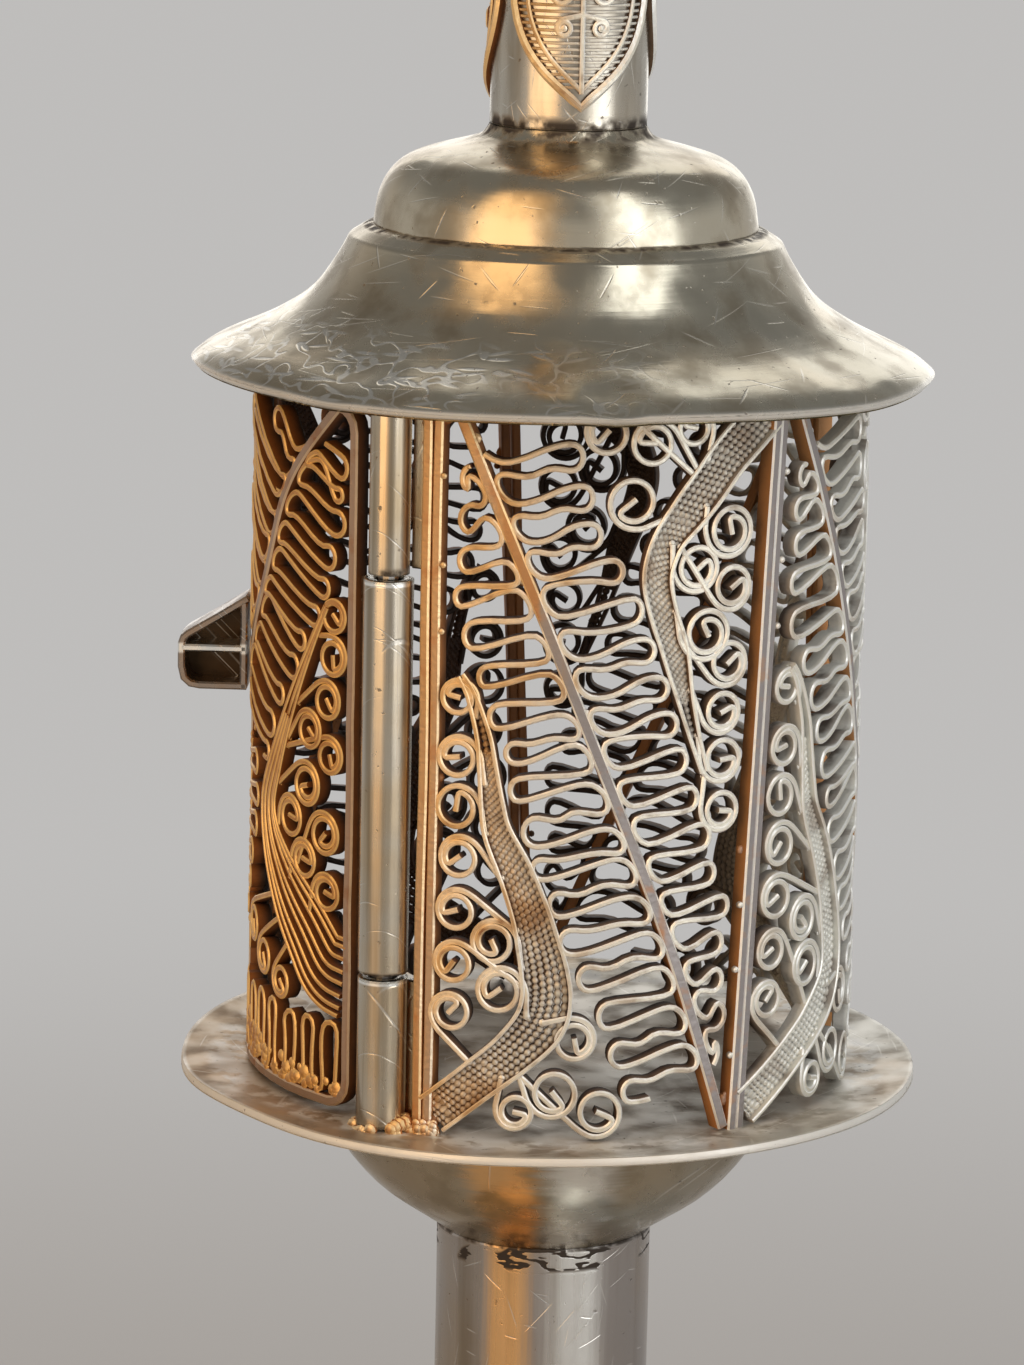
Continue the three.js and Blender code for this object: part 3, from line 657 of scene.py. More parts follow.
class Drawing:
    """Flat drawing of wires and beads that is bent round the axis when it is done."""

    def __init__(self, reach: float, level: float) -> None:
        """Starts an empty drawing.

        Args:
            reach: Radius of the drum that its face lies on.
            level: Height of its base line above the floor.
        """
        self.reach = reach
        self.level = level
        self.strokes: list[Stroke] = []
        self.beads: list[tuple[Vector, float, float]] = []

    def draw(self, points: Line, gauge: Gauge, **how: object) -> None:
        """Adds a line, sunk so that its face is level with the drum."""
        sunk = [Vector((p.x, p.y, p.z - gauge.depth / 2)) for p in points]
        self.strokes.append(Stroke(sunk, gauge, **how))

    def bead(self, at: Vector, size: float, flatten: float = 1.0) -> None:
        """Adds a grain of silver or a lump of solder.

        Args:
            at: The middle of its face.
            size: Its diameter.
            flatten: Its depth as a share of that.
        """
        self.beads.append((Vector((at.x, at.y, at.z - size * flatten / 2)), size, flatten))

    @staticmethod
    def converted(strokes: list[Stroke]) -> bmesh.types.BMesh:
        """Returns one mesh of all the strokes.

        Args:
            strokes: Lines, each with its gauge, or none for a bare line.

        Returns:
            The mesh, in the drawing's own space.
        """
        work = bmesh.new()
        for key in dict.fromkeys((s.gauge, s.steps) for s in strokes):
            data = bpy.data.curves.new("strokes", "CURVE")
            data.dimensions = "3D"
            data.twist_mode = "Z_UP"
            profile = key[0].profile() if key[0] else None
            if profile:
                data.bevel_mode = "OBJECT"
                data.bevel_object = profile
                data.use_fill_caps = True
            for stroke in (s for s in strokes if (s.gauge, s.steps) == key):
                Drawing.splined(data, stroke)
            held = bpy.data.objects.new("strokes", data)
            bpy.context.scene.collection.objects.link(held)
            bpy.context.view_layer.update()
            graph = bpy.context.evaluated_depsgraph_get()
            made = bpy.data.meshes.new_from_object(held.evaluated_get(graph))
            work.from_mesh(made)
            bpy.data.meshes.remove(made)
            for item in filter(None, (held, profile)):
                curve = item.data
                bpy.data.objects.remove(item)
                bpy.data.curves.remove(curve)
        return work

    @staticmethod
    def splined(data: bpy.types.Curve, stroke: Stroke) -> None:
        """Adds a stroke to a curve.

        Args:
            data: The curve.
            stroke: The line to add, smooth or straight from point to point.
        """
        bent = stroke.smooth and len(stroke.points) > 2
        spline = data.splines.new("NURBS" if bent else "POLY")
        spline.points.add(len(stroke.points) - 1)
        for i, (point, place) in enumerate(zip(spline.points, stroke.points)):
            point.co = (*place, 1)
            point.radius = stroke.swell[i] if stroke.swell else 1.0
        spline.use_cyclic_u = stroke.closed
        if bent:
            spline.order_u = 3
            spline.use_endpoint_u = not stroke.closed
            spline.resolution_u = stroke.steps

    def mesh(self) -> bmesh.types.BMesh:
        """Returns the bent mesh, in millimetres."""
        work = self.converted(self.strokes)
        grains = bmesh.new()
        for at, size, flatten in self.beads:
            shape = Matrix.Translation(at) @ Matrix.Diagonal((size, size, size * flatten, 1))
            bmesh.ops.create_uvsphere(grains, **GRAIN, matrix=shape)
        Bench.joined(work, grains)
        for vertex in work.verts:
            vertex.co = self.bent(vertex.co)
        return work

    def bent(self, point: Vector) -> Vector:
        """Returns the place of a drawn point on the tower."""
        turn = point.x / self.reach
        reach = self.reach + point.z
        return Vector((reach * math.sin(turn), -reach * math.cos(turn), self.level + point.y))


# Drawn lines


class Pen:
    """Works out the lines that the filigree is drawn with."""

    @staticmethod
    def arc(azimuth: float, reach: float = 21.0) -> float:
        """Returns an azimuth as a length round the drum."""
        return math.radians(azimuth) * reach

    @staticmethod
    def through(knots: Line, step: float) -> Line:
        """Returns a smooth line through points.

        Args:
            knots: The points.
            step: About how far apart its points lie.

        Returns:
            The line's points.
        """
        ends = [knots[0] * 2 - knots[1], *knots, knots[-1] * 2 - knots[-2]]
        line = []
        for a, b, c, d in zip(ends, ends[1:], ends[2:], ends[3:]):
            count = max(1, round((c - b).length / step))
            for i in range(count):
                t = i / count
                pull = (c - a) * t + (2 * a - 5 * b + 4 * c - d) * t**2 + (3 * b - a - 3 * c + d) * t**3
                line.append(b + pull / 2)
        return [*line, knots[-1].copy()]

    @staticmethod
    def beside(line: Line, offsets: Sequence[float]) -> Line:
        """Returns a line moved to its left.

        Args:
            line: The line.
            offsets: How far each of its points moves.

        Returns:
            The moved line.
        """
        moved = []
        for i, point in enumerate(line):
            ahead = line[min(i + 1, len(line) - 1)] - line[max(i - 1, 0)]
            across = Vector((-ahead.y, ahead.x, 0)).normalized()
            moved.append(point + across * offsets[i])
        return moved

    @staticmethod
    def across_at(line: Line, height: float) -> float:
        """Returns how far across a line lies at a height.

        Args:
            line: A line that rises.
            height: The height, which may lie beyond its ends.

        Returns:
            The place across.
        """
        rising = sorted(line, key=lambda p: p.y)
        if height <= rising[0].y:
            return rising[0].x
        for a, b in zip(rising, rising[1:]):
            if a.y <= height <= b.y and b.y > a.y:
                return a.x + (b.x - a.x) * (height - a.y) / (b.y - a.y)
        return rising[-1].x

    @staticmethod
    def height_at(line: Line, share: float) -> float:
        """Returns the height of a drawn graph.

        Args:
            line: The graph, from left to right.
            share: Share of its length across.

        Returns:
            Its height there.
        """
        place = share * (line[-1].x - line[0].x) + line[0].x
        for a, b in zip(line, line[1:]):
            if a.x <= place <= b.x and b.x > a.x:
                return a.y + (b.y - a.y) * (place - a.x) / (b.x - a.x)
        return line[-1].y

    @staticmethod
    def scroll(centre: Vector, radius: float, tail: Vector, sense: int, turns: float = 1.5) -> Line:
        """Returns a scroll: a tail, a round turn, an inner turn and a straight end across the middle.

        Args:
            centre: Middle of the round turn.
            radius: Its radius.
            tail: Where the wire comes from.
            sense: 1 to wind anticlockwise, -1 clockwise.
            turns: How many turns the wire makes.

        Returns:
            The control points.
        """
        # The wire comes in along a wider circle, tightens after three quarters of a turn, and ends just past
        # the centre
        to_tail = tail - centre
        wide = min(radius * 1.3, max(to_tail.length, radius) * 0.98)
        touching = math.acos(min(wide / max(to_tail.length, wide), 1))
        start = math.atan2(to_tail.y, to_tail.x) + sense * touching
        per_turn = 10
        line = [tail, tail.lerp(centre + Vector((math.cos(start), math.sin(start), 0)) * wide, 0.55)]
        for i in range(round(turns * per_turn) + 1):
            turn = i / per_turn
            wider = (wide - radius) * max(0.0, 1 - turn / 0.35)
            reach = radius * (1.04 - 0.42 * max(0.0, turn - 0.75)) + wider
            angle = start + sense * math.tau * turn
            line.append(centre + Vector((math.cos(angle), math.sin(angle), 0)) * reach)
        inward = centre - line[-1]
        return [*line, line[-1] + inward * 0.7, line[-1] + inward * 1.25]


@dataclass(frozen=True)
class Field:
    """A clear field between two upright edges, and a way to name places in it by shares."""

    foot: tuple[float, float]
    head: tuple[float, float]
    bottom: float
    top: float
    turned: bool = False
    mirrored: bool = False

    def at(self, across: float, up: float, out: float = 0.0) -> Vector:
        """Returns a place in the field.

        Args:
            across: Share of its width.
            up: Share of its height.
            out: How far out of the work it lies, in millimetres.

        Returns:
            The drawn place.
        """
        if self.turned:
            across, up = 1 - across, 1 - up
        height = self.bottom + (self.top - self.bottom) * up
        left = self.foot[0] + (self.head[0] - self.foot[0]) * up
        right = self.foot[1] + (self.head[1] - self.foot[1]) * up
        share = 1 - across if self.mirrored else across
        return Vector((left + (right - left) * share, height, out))

    def line(self, shares: Shares, step: float = 0.8) -> Line:
        """Returns a smooth line through places given by shares."""
        return Pen.through([self.at(*share) for share in shares], step)


class Weave(Enum):
    """What the strands of a band are."""

    BEADED = "beaded"
    PLAIN = "plain"


@dataclass(frozen=True)
class Band:
    """A band of wires side by side along a drawn line."""

    path: Shares
    widths: tuple[float, ...]
    rows: int
    weave: Weave
    bead: float = 0.46
    edge: Gauge = Gauge(0.3, 1.0, 0.08)
    strand: Gauge = Gauge(0.5, 0.6, 0.14)
    sunk: float = 0.4
    beads: tuple[float, ...] = (0.6, 1.0, 1.0)
    plain_step: float = 0.7
    inset: float = 0.1
    narrowest: float = 0.17
    stagger: float = 0.08

    def draw(self, drawing: Drawing, field: Field) -> tuple[Line, list[float]]:
        """Draws the band.

        Args:
            drawing: What it is drawn on.
            field: The field that its path is given in.

        Returns:
            Its middle line, and half its width at each point.
        """
        beaded = self.weave is Weave.BEADED
        middle = field.line(self.path, self.bead / len(self.beads) if beaded else self.plain_step)
        knots = [Vector((i, width, 0)) for i, width in enumerate(self.widths)]
        spread = Pen.through(knots, (len(self.widths) - 1) / 60)
        half = [Pen.height_at(spread, i / (len(middle) - 1)) / 2 for i in range(len(middle))]
        for side in (-1, 1):
            line = Pen.beside(middle, [side * h for h in half])
            drawing.draw(line[:: len(self.beads) if beaded else 1], self.edge)
        for row in range(self.rows):
            share = (row + 0.5) / self.rows * 2 - 1
            line = Pen.beside(middle, [share * max(h - self.inset, 0) for h in half])
            if row != self.rows // 2:
                tight = (i for i, h in enumerate(half) if 2 * h / self.rows < self.narrowest)
                line = line[: next(tight, len(line))]
            if len(line) < 6:
                continue
            if beaded:
                swell = [self.beads[(i + row) % len(self.beads)] for i in range(len(line))]
                sunk = Vector((0, 0, -self.sunk))
                drawing.draw([p + sunk for p in line], self.strand, smooth=False, swell=swell)
            else:
                sunk = Vector((0, 0, -self.stagger * (row % 2)))
                drawing.draw([p + sunk for p in line], self.edge)
        return middle, half


@dataclass(frozen=True)
class Hairpins:
    """Serpentine wire that runs to and fro between a strip and a drawn edge.

    Each run ends in a round bulb, and a long run narrows to a neck behind it. Points of a bulb or neck are
    shares of its size along the edge and away from it.
    """

    edge: Shares
    pitch: float = 2.5
    bulb: float = 0.37
    root: float = 0.41
    rise: float = 0.08
    uneven: float = 0.13
    margin: float = 0.35
    wire: Gauge = Gauge(0.38, 1.15, 0.1)
    neck: tuple[float, float] = (0.72, 2.2)
    neck_from: float = 2.6
    round_end: Shares = ((-1.0, 0.62), (-0.42, 0), (0.42, 0), (1.0, 0.62))
    root_inset: float = 0.5
    clear: float = 0.3
    shortest: float = 1.0

    def draw(self, drawing: Drawing, field: Field, strip: Line, dice: random.Random) -> None:
        """Draws the wire.

        Args:
            drawing: What it is drawn on.
            field: The field that its edge is given in.
            strip: Middle line of the strip that it is soldered to.
            dice: Where its unevenness comes from.
        """
        edge = [field.at(*share) for share in self.edge]
        low, high = min(p.y for p in edge), max(p.y for p in edge)
        loops = round((high - low) / self.pitch)
        pitch = (high - low) / loops
        bounds = [low + pitch * (i + dice.uniform(-self.uneven, self.uneven)) for i in range(loops + 1)]
        line: Line = []
        for foot, head in zip(bounds, bounds[1:]):
            middle, room = (foot + head) / 2, head - foot
            away, rooted = Pen.across_at(edge, middle), Pen.across_at(strip, middle)
            side = math.copysign(1, away - rooted)
            rise = (room * 0.12 + abs(away - rooted) * self.rise) * side * (1 if field.mirrored else -1)
            out = dice.uniform(-0.16, 0.02)
            root = Vector((Pen.across_at(strip, middle + rise), middle + rise, 0))
            tip = Vector((away + side * dice.uniform(-0.4, 0.15), middle, 0))
            spare = self.margin + room / 2
            kept = min(max(middle, field.bottom + spare), field.top - spare)
            if abs(tip.y - root.y) > abs(kept - root.y):
                tip = root.lerp(tip, (kept - root.y) / (tip.y - root.y))
            reach = abs(tip.x - root.x)
            if reach < self.shortest:
                continue
            far, near = room * self.bulb * dice.uniform(0.88, 1.06), room * self.root
            bend, deepest = self.round_end, reach * 0.3
            if reach > self.neck_from * self.neck[1] * near:
                pinch = self.neck[0] + dice.uniform(-0.15, 0.1)
                bend, deepest = ((-pinch, self.neck[1]), *bend, (pinch, self.neck[1])), reach
            for share, depth in bend:
                line.append(Vector((tip.x - side * min(depth * far, deepest), tip.y + share * far, out)))
            for share, depth in bend:
                height = max(head + share * near + rise, field.bottom + self.clear)
                height = min(height, field.top - self.clear)
                inwards = self.root_inset + min(depth * near, deepest)
                line.append(Vector((Pen.across_at(strip, height) + side * inwards, height, out)))
            if reach > 2 and dice.random() < 0.6:
                drawing.bead(line[-3] + Vector((-side * 0.2, 0, -0.1)), dice.uniform(0.5, 0.9), 0.7)
        drawing.draw(line[:-3], self.wire)


@dataclass(frozen=True)
class Curl:
    """One scroll of a spray, placed by shares."""

    across: float
    up: float
    radius: float
    sense: int = 1
    tail: tuple[float, float] = (1.9, -1.7)
    turns: float = 1.5


@dataclass(frozen=True)
class Spray:
    """A band with the scrolls that grow from it."""

    band: Band
    curls: tuple[Curl, ...]
    wire: Gauge = Gauge(0.38, 1.15, 0.1)

    def draw(self, drawing: Drawing, field: Field, dice: random.Random) -> None:
        """Draws the spray.

        Args:
            drawing: What it is drawn on.
            field: The field that its places are given in.
            dice: Where its unevenness comes from.
        """
        middle, half = self.band.draw(drawing, field)
        flip = Vector((-1 if field.mirrored != field.turned else 1, -1 if field.turned else 1, 0))
        sense = -1 if field.mirrored else 1
        for curl in self.curls:
            centre = field.at(curl.across, curl.up, dice.uniform(-0.14, 0))
            reach = centre + Vector((curl.tail[0] * flip.x, curl.tail[1] * flip.y, 0))
            nearest = min(range(len(middle)), key=lambda i: (middle[i] - reach).length)
            away = reach - middle[nearest]
            tail = middle[nearest] + away.normalized() * min(away.length, half[nearest])
            tail.z = -0.12
            radius = curl.radius * dice.uniform(0.95, 1.03)
            line = Pen.scroll(centre, radius, tail, curl.sense * sense, curl.turns)
            drawing.draw(line, self.wire)
            drawing.bead(tail + Vector((0, 0, -0.1)), 0.55, 0.7)


# Sub-assemblies


def rippled(
    work: bmesh.types.BMesh, inner: float, width: float, ripple: tuple[float, float], bow: int
) -> None:
    """Lets a turned sheet's edge rise and fall a little, and sink a little all round.

    Args:
        work: The sheet's mesh.
        inner: Radius where the ripples start.
        width: How far out they are full.
        ripple: How close they lie, and where in the noise they are read.
        bow: 1 where the edge sinks straight, 2 where it sinks in a curve.
    """
    close, row = ripple
    for vertex in work.verts:
        out = max(0.0, vertex.co.xy.length - inner) / width
        turn = math.atan2(vertex.co.x, -vertex.co.y)
        wave = noise.noise(Vector((math.cos(turn) * close, math.sin(turn) * close, row)))
        vertex.co.z += out * out * wave * RIPPLE - out**bow * EDGE_DROP


@dataclass(frozen=True)
class Cage:
    """Posts, and the four fixed panels between them."""

    reach: float = 21.0
    height: float = 49.2
    level: float = 83.7
    post_width: float = 1.5
    posts: tuple[float, ...] = (-23.8, 40.0, 114.0, 188.0, 262.0)
    lean: float = 3.2
    strip: Gauge = Gauge(0.66, 1.3, 0.12)
    diagonal_strip: Gauge = Gauge(0.78, 1.3, 0.12)
    diagonal: Shares = ((0.985, 0), (0.75, 0.26), (0.5, 0.515), (0.27, 0.755), (0.035, 1))
    hairpins: Hairpins = Hairpins(
        (
            (0.615, 0.04), (0.59, 0.088), (0.55, 0.137), (0.5, 0.19), (0.445, 0.235), (0.395, 0.282),
            (0.35, 0.332), (0.3, 0.38), (0.262, 0.432), (0.215, 0.505), (0.155, 0.575), (0.1, 0.637),
            (0.055, 0.69), (0.04, 0.84), (0.05, 0.92),
        )
    )
    lower_spray: Spray = Spray(
        Band(
            (
                (0.0, 0.022), (0.04, 0.036), (0.171, 0.084), (0.26, 0.117), (0.34, 0.157), (0.362, 0.193),
                (0.352, 0.232), (0.329, 0.271), (0.305, 0.308), (0.255, 0.365), (0.193, 0.421),
                (0.175, 0.457), (0.156, 0.514), (0.142, 0.552), (0.102, 0.607), (0.067, 0.633),
            ),
            (2.6, 2.6, 2.8, 3.3, 3.0, 2.5, 2.2, 1.7, 1.2, 0.8, 0.35),
            6,
            Weave.BEADED,
        ),
        (
            Curl(0.06, 0.603, 1.1, tail=(1.2, -1.2)),
            Curl(0.06, 0.521, 1.25),
            Curl(0.06, 0.452, 1.28, turns=1.25),
            Curl(0.07, 0.383, 1.28),
            Curl(0.065, 0.31, 1.25, turns=1.4),
            Curl(0.185, 0.27, 1.4, turns=1.8),
            Curl(0.06, 0.237, 1.25),
            Curl(0.21, 0.204, 1.4, turns=1.6),
            Curl(0.055, 0.169, 1.2, -1, (1.2, -3.2)),
            Curl(0.457, 0.136, 1.3, -1, (-2.2, 1.2)),
            Curl(0.398, 0.062, 1.38, 1, (-2.4, 1.2), turns=1.3),
            Curl(0.547, 0.035, 1.35, 1, (-5.0, 2.0), turns=1.3),
            Curl(0.277, 0.035, 1.05, 1, (-1.0, 2.2)),
        ),
    )
    upper_spray: Spray = Spray(
        Band(
            (
                (0.02, 0.012), (0.144, 0.066), (0.211, 0.106), (0.281, 0.147), (0.33, 0.177), (0.356, 0.21),
                (0.358, 0.241), (0.331, 0.285), (0.294, 0.329), (0.249, 0.399), (0.211, 0.451),
                (0.17, 0.501),
            ),
            (3.0, 2.9, 2.75, 2.6, 2.1, 1.9, 1.8, 1.7, 1.1, 0.7, 0.4),
            6,
            Weave.BEADED,
        ),
        (
            Curl(0.104, 0.554, 1.2, tail=(1.2, -1.2)),
            Curl(0.11, 0.484, 1.35),
            Curl(0.12, 0.418, 1.25),
            Curl(0.108, 0.351, 1.3),
            Curl(0.19, 0.309, 1.5, turns=1.8),
            Curl(0.112, 0.248, 1.35),
            Curl(0.232, 0.22, 1.4, turns=1.6),
            Curl(0.128, 0.172, 1.6, turns=1.8),
            Curl(0.447, 0.127, 1.45, -1, (-2.2, 1.2), turns=1.2),
            Curl(0.394, 0.049, 1.4, 1, (-2.4, 1.2), turns=1.4),
            Curl(0.53, 0.034, 1.3, 1, (-5.0, 2.0)),
            Curl(0.27, 0.03, 1.1, 1, (-1.0, 2.2)),
        ),
    )

    post_steps: int = 16
    post_grains: int = 16
    panel_grains: Shares = ((0.004, 0.9), (0.006, 0.78), (0.005, 0.69))
    strips: Finish = STRIPS
    wires: Finish = WIRES

    def draw_post(self, azimuth: float, lean: float) -> bmesh.types.BMesh:
        """Returns the mesh of one post, two strips soldered side by side.

        Args:
            azimuth: Its middle.
            lean: How far its head lies beyond its middle, and its foot before it.

        Returns:
            The mesh, in millimetres.
        """
        drawing = Drawing(self.reach, self.level)
        for k, side in enumerate((-1, 1)):
            line = []
            for i in range(self.post_steps + 1):
                up = i / self.post_steps
                across = Pen.arc(azimuth + lean * (2 * up - 1)) + side * self.post_width / 4
                sway = noise.noise(Vector((azimuth, up * 3, side))) * 0.1
                line.append(Vector((across + sway, self.height * up, -0.1 * k - abs(sway))))
            drawing.draw(line, self.strip)
        dice = random.Random(round(azimuth * 10))
        for _ in range(self.post_grains):
            up = dice.choice((dice.uniform(0, 0.05), dice.uniform(0.95, 1), dice.random()))
            across = Pen.arc(azimuth + lean * (2 * up - 1)) + dice.choice((-1, 1)) * self.post_width * 0.45
            drawing.bead(Vector((across, self.height * up, -0.45)), dice.uniform(0.5, 1.0), 0.8)
        return drawing.mesh()

    def build(self) -> None:
        """Makes the posts and panels."""
        last = len(self.posts) - 1
        leans = [0.0 if i in (0, last) else self.lean for i in range(last + 1)]
        for i, azimuth in enumerate(self.posts):
            name = {0: "hinge_post", last: "latch_post"}.get(i, f"post_{i}")
            post = self.draw_post(azimuth, leans[i])
            Bench.shown(f"{name}_strips", post, self.strips, Body.TOWER, Slot.SILVER, name)
        for i in range(last):
            left, right = self.posts[i], self.posts[i + 1]
            edges = self.post_width / 2
            foot = (Pen.arc(left - leans[i]) + edges, Pen.arc(right - leans[i + 1]) - edges)
            head = (Pen.arc(left + leans[i]) + edges, Pen.arc(right + leans[i + 1]) - edges)
            self.panel(f"panel_{i + 1}", foot, head)

    def panel(self, name: str, foot: tuple[float, float], head: tuple[float, float]) -> None:
        """Makes one fixed panel.

        Args:
            name: Start of its pieces' names.
            foot: Its edges at the foot, as arcs.
            head: Its edges at the head.
        """
        field = Field(foot, head, 0.25, self.height - 0.25)
        dice = random.Random(name)
        diagonal = field.line(self.diagonal, 2.0)
        for point in diagonal:
            point.z = -0.05 + 0.08 * noise.noise(point * 0.2)
        drawing = Drawing(self.reach, self.level)
        drawing.draw(diagonal, self.diagonal_strip)
        made = drawing.mesh()
        Bench.shown(f"{name}_strip", made, self.strips, Body.TOWER, Slot.SILVER, f"{name}_diagonal")
        turned = replace(field, turned=True)
        for part, half, spray in (("lower", field, self.lower_spray), ("upper", turned, self.upper_spray)):
            start, rides = f"{name}_{part}", (self.wires, Body.TOWER, Slot.FILIGREE)
            drawing = Drawing(self.reach, self.level)
            self.hairpins.draw(drawing, half, diagonal, dice)
            Bench.shown(f"{start}_hairpins", drawing.mesh(), *rides, f"{start}_meander")
            drawing = Drawing(self.reach, self.level)
            spray.draw(drawing, half, dice)
            for across, up in self.panel_grains:
                drawing.bead(half.at(across, up), 0.5)
            Bench.shown(f"{start}_scrolls", drawing.mesh(), *rides, f"{start}_spray")


@dataclass(frozen=True)
class Door:
    """Hinged door: a frame of strip, its filigree, and the thumb pull."""

    reach: float = 21.0
    level: float = 83.1
    hinge_side: float = -40.6
    free_side: float = -94.0
    foot: float = 1.0
    top: float = 48.7
    corner: float = 1.6
    strip: Gauge = Gauge(0.7, 1.3, 0.12)
    wire: Gauge = Gauge(0.38, 1.1, 0.1)
    skirt: float = 5.4
    skirt_pitch: float = 1.18
    foot_lumps: int = 90
    free_lumps: int = 26
    diagonal: Shares = ((1.0, 0.51), (0.747, 0.635), (0.553, 0.733), (0.36, 0.875), (0.06, 1.0))
    hairpins: Hairpins = Hairpins(
        (
            (0.52, 0.45), (0.45, 0.5), (0.36, 0.575), (0.25, 0.64), (0.17, 0.69), (0.08, 0.75), (0.03, 0.84),
            (0.015, 0.95),
        ),
        pitch=2.15,
        rise=0.2,
        uneven=0.2,
        neck=(0.82, 1.7),
    )
    upper_hairpins: Hairpins = replace(hairpins, edge=((0.985, 0.56), (0.985, 1.12)), pitch=2.1, rise=0.3)
    free_hairpins: Hairpins = replace(
        hairpins,
        edge=(
            (0.84, 0.135), (0.85, 0.2), (0.8, 0.25), (0.72, 0.31), (0.65, 0.37), (0.64, 0.43), (0.72, 0.475),
        ),
        rise=-0.1,
    )
    spray: Spray = Spray(
        Band(
            (
                (0.0, 0.18), (0.1, 0.19), (0.205, 0.235), (0.36, 0.296), (0.47, 0.354), (0.5, 0.405),
                (0.437, 0.465), (0.321, 0.558), (0.205, 0.646), (0.108, 0.718),
            ),
            (5.4, 5.3, 4.9, 3.8, 2.6, 1.8, 1.2, 0.8, 0.5, 0.25),
            6,
            Weave.PLAIN,
        ),
        (
            Curl(0.07, 0.706, 1.05, tail=(1.9, 1.2)),
            Curl(0.075, 0.645, 1.1, tail=(1.9, 1.2)),
            Curl(0.105, 0.58, 1.15),
            Curl(0.195, 0.532, 1.15),
            Curl(0.085, 0.5, 1.1),
            Curl(0.21, 0.45, 1.35, turns=1.8),
            Curl(0.315, 0.396, 1.25),
            Curl(0.105, 0.385, 1.35, turns=1.8),
            Curl(0.22, 0.34, 1.15),
            Curl(0.09, 0.3, 1.1),
            Curl(0.38, 0.142, 1.05, -1, (-1.0, 3.0)),
            Curl(0.545, 0.165, 1.15, -1, (-2.5, 3.0)),
            Curl(0.7, 0.2, 1.15, -1, (-4.5, 3.0)),
        ),
    )
    pull_azimuth: float = -92.2
    pull_width: float = 3.0
    pull_strip: float = 0.5
    pull_line: Shares = (
        (21.15, 32.7), (23.2, 31.4), (25.2, 30.2), (25.55, 29.9), (25.68, 29.5), (25.68, 27.9), (25.5, 27.1),
        (25.05, 26.7), (24.4, 26.6), (21.2, 26.6),
    )
    pull_post: Shares = ((21.4, 26.5), (21.4, 32.4))
    pull_shelf: Shares = ((21.3, 29.2), (25.6, 29.2))
    pull_back: Shares = ((21.2, 26.6), (25.6, 26.7), (21.2, 32.5), (25.6, 29.9))

    strips: Finish = Openwork(
        "door_strip_silver",
        face=(0.34, 0.29, 0.26),
        face_toned_and_warm_lit=(0.42, 0.28, 0.19),
        edge_toned_and_warm_lit=(0.74, 0.56, 0.38),
        side=(0.26, 0.10, 0.035),
        side_toned_and_warm_lit=(0.26, 0.10, 0.03),
        metal=0.7,
        grain=(0.5, 0.5, 8),
    )
    # Golden all over: gilt toning, and painted warm light on the side of the door that faces the warm lamp
    wires: Finish = Openwork(
        "gilt_and_warm_lit_wire_silver",
        face=(0.66, 0.40, 0.16),
        face_toned_and_warm_lit=(0.62, 0.32, 0.10),
        edge=(0.95, 0.66, 0.30),
        edge_toned_and_warm_lit=(0.97, 0.64, 0.24),
        side_toned_and_warm_lit=(0.30, 0.10, 0.018),
    )
    strap: Finish = Sheet(
        "pull_silver",
        bright=(0.32, 0.28, 0.25),
        toned_and_warm_lit=(0.36, 0.25, 0.16),
        rough=0.4,
        scratch=0.3,
        # A painted highlight along the top of the pull's shelf
        highlit_lips=((112.3, 0.45),),
    )
    # Near black: painted shade inside the pull's loop
    loop_shade: Finish = Sheet(
        "loop_shade_black",
        bright=(0.05, 0.035, 0.022),
        toned_and_warm_lit=(0.06, 0.03, 0.012),
        rough=0.6,
    )

    def build(self) -> None:
        """Makes the door."""
        dice = random.Random("door")
        self.frame_and_strip()
        inset = self.strip.width
        edges = (Pen.arc(self.free_side) + inset / 2, Pen.arc(self.hinge_side) - inset / 2)
        field = Field(edges, edges, self.foot + inset, self.top - inset, mirrored=True)
        diagonal = field.line(self.diagonal, 1.5)
        for name, node, pins in (
            ("door_lower_hairpins", "door_lower_meander", self.hairpins),
            ("door_upper_hairpins", "door_upper_meander", self.upper_hairpins),
        ):
            drawing = Drawing(self.reach, self.level)
            pins.draw(drawing, field, diagonal, dice)
            Bench.shown(name, drawing.mesh(), self.wires, Body.DOOR, Slot.FILIGREE, node)
        drawing = Drawing(self.reach, self.level)
        self.spray.draw(drawing, field, dice)
        self.free_hairpins.draw(drawing, field, [field.at(1.0, 0.0), field.at(1.0, 1.0)], dice)
        for _ in range(self.foot_lumps):
            across = dice.uniform(0.02, 0.98)
            place = field.at(across, dice.uniform(0.0, 0.02 + 0.045 * across))
            drawing.bead(place, dice.uniform(0.5, 1.2 + 0.5 * across), 0.6)
        for _ in range(self.free_lumps):
            place = field.at(dice.uniform(0.965, 0.995), dice.uniform(0.1, 0.98))
            drawing.bead(place, dice.uniform(0.6, 1.2), 0.6)
        Bench.shown("door_scrolls", drawing.mesh(), self.wires, Body.DOOR, Slot.FILIGREE, "door_spray")
        drawing = Drawing(self.reach, self.level)
        self.draw_skirt(drawing, field, dice)
        Bench.shown("door_skirt", drawing.mesh(), self.wires, Body.DOOR, Slot.FILIGREE, "door_skirt_wire")
        Bench.shown("thumb_pull", self.pull(), self.strap, Body.DOOR, Slot.POLISHED, "door_pull")
        Bench.shown("pull_back", self.back(), self.loop_shade, Body.DOOR, Slot.POLISHED, "door_pull")

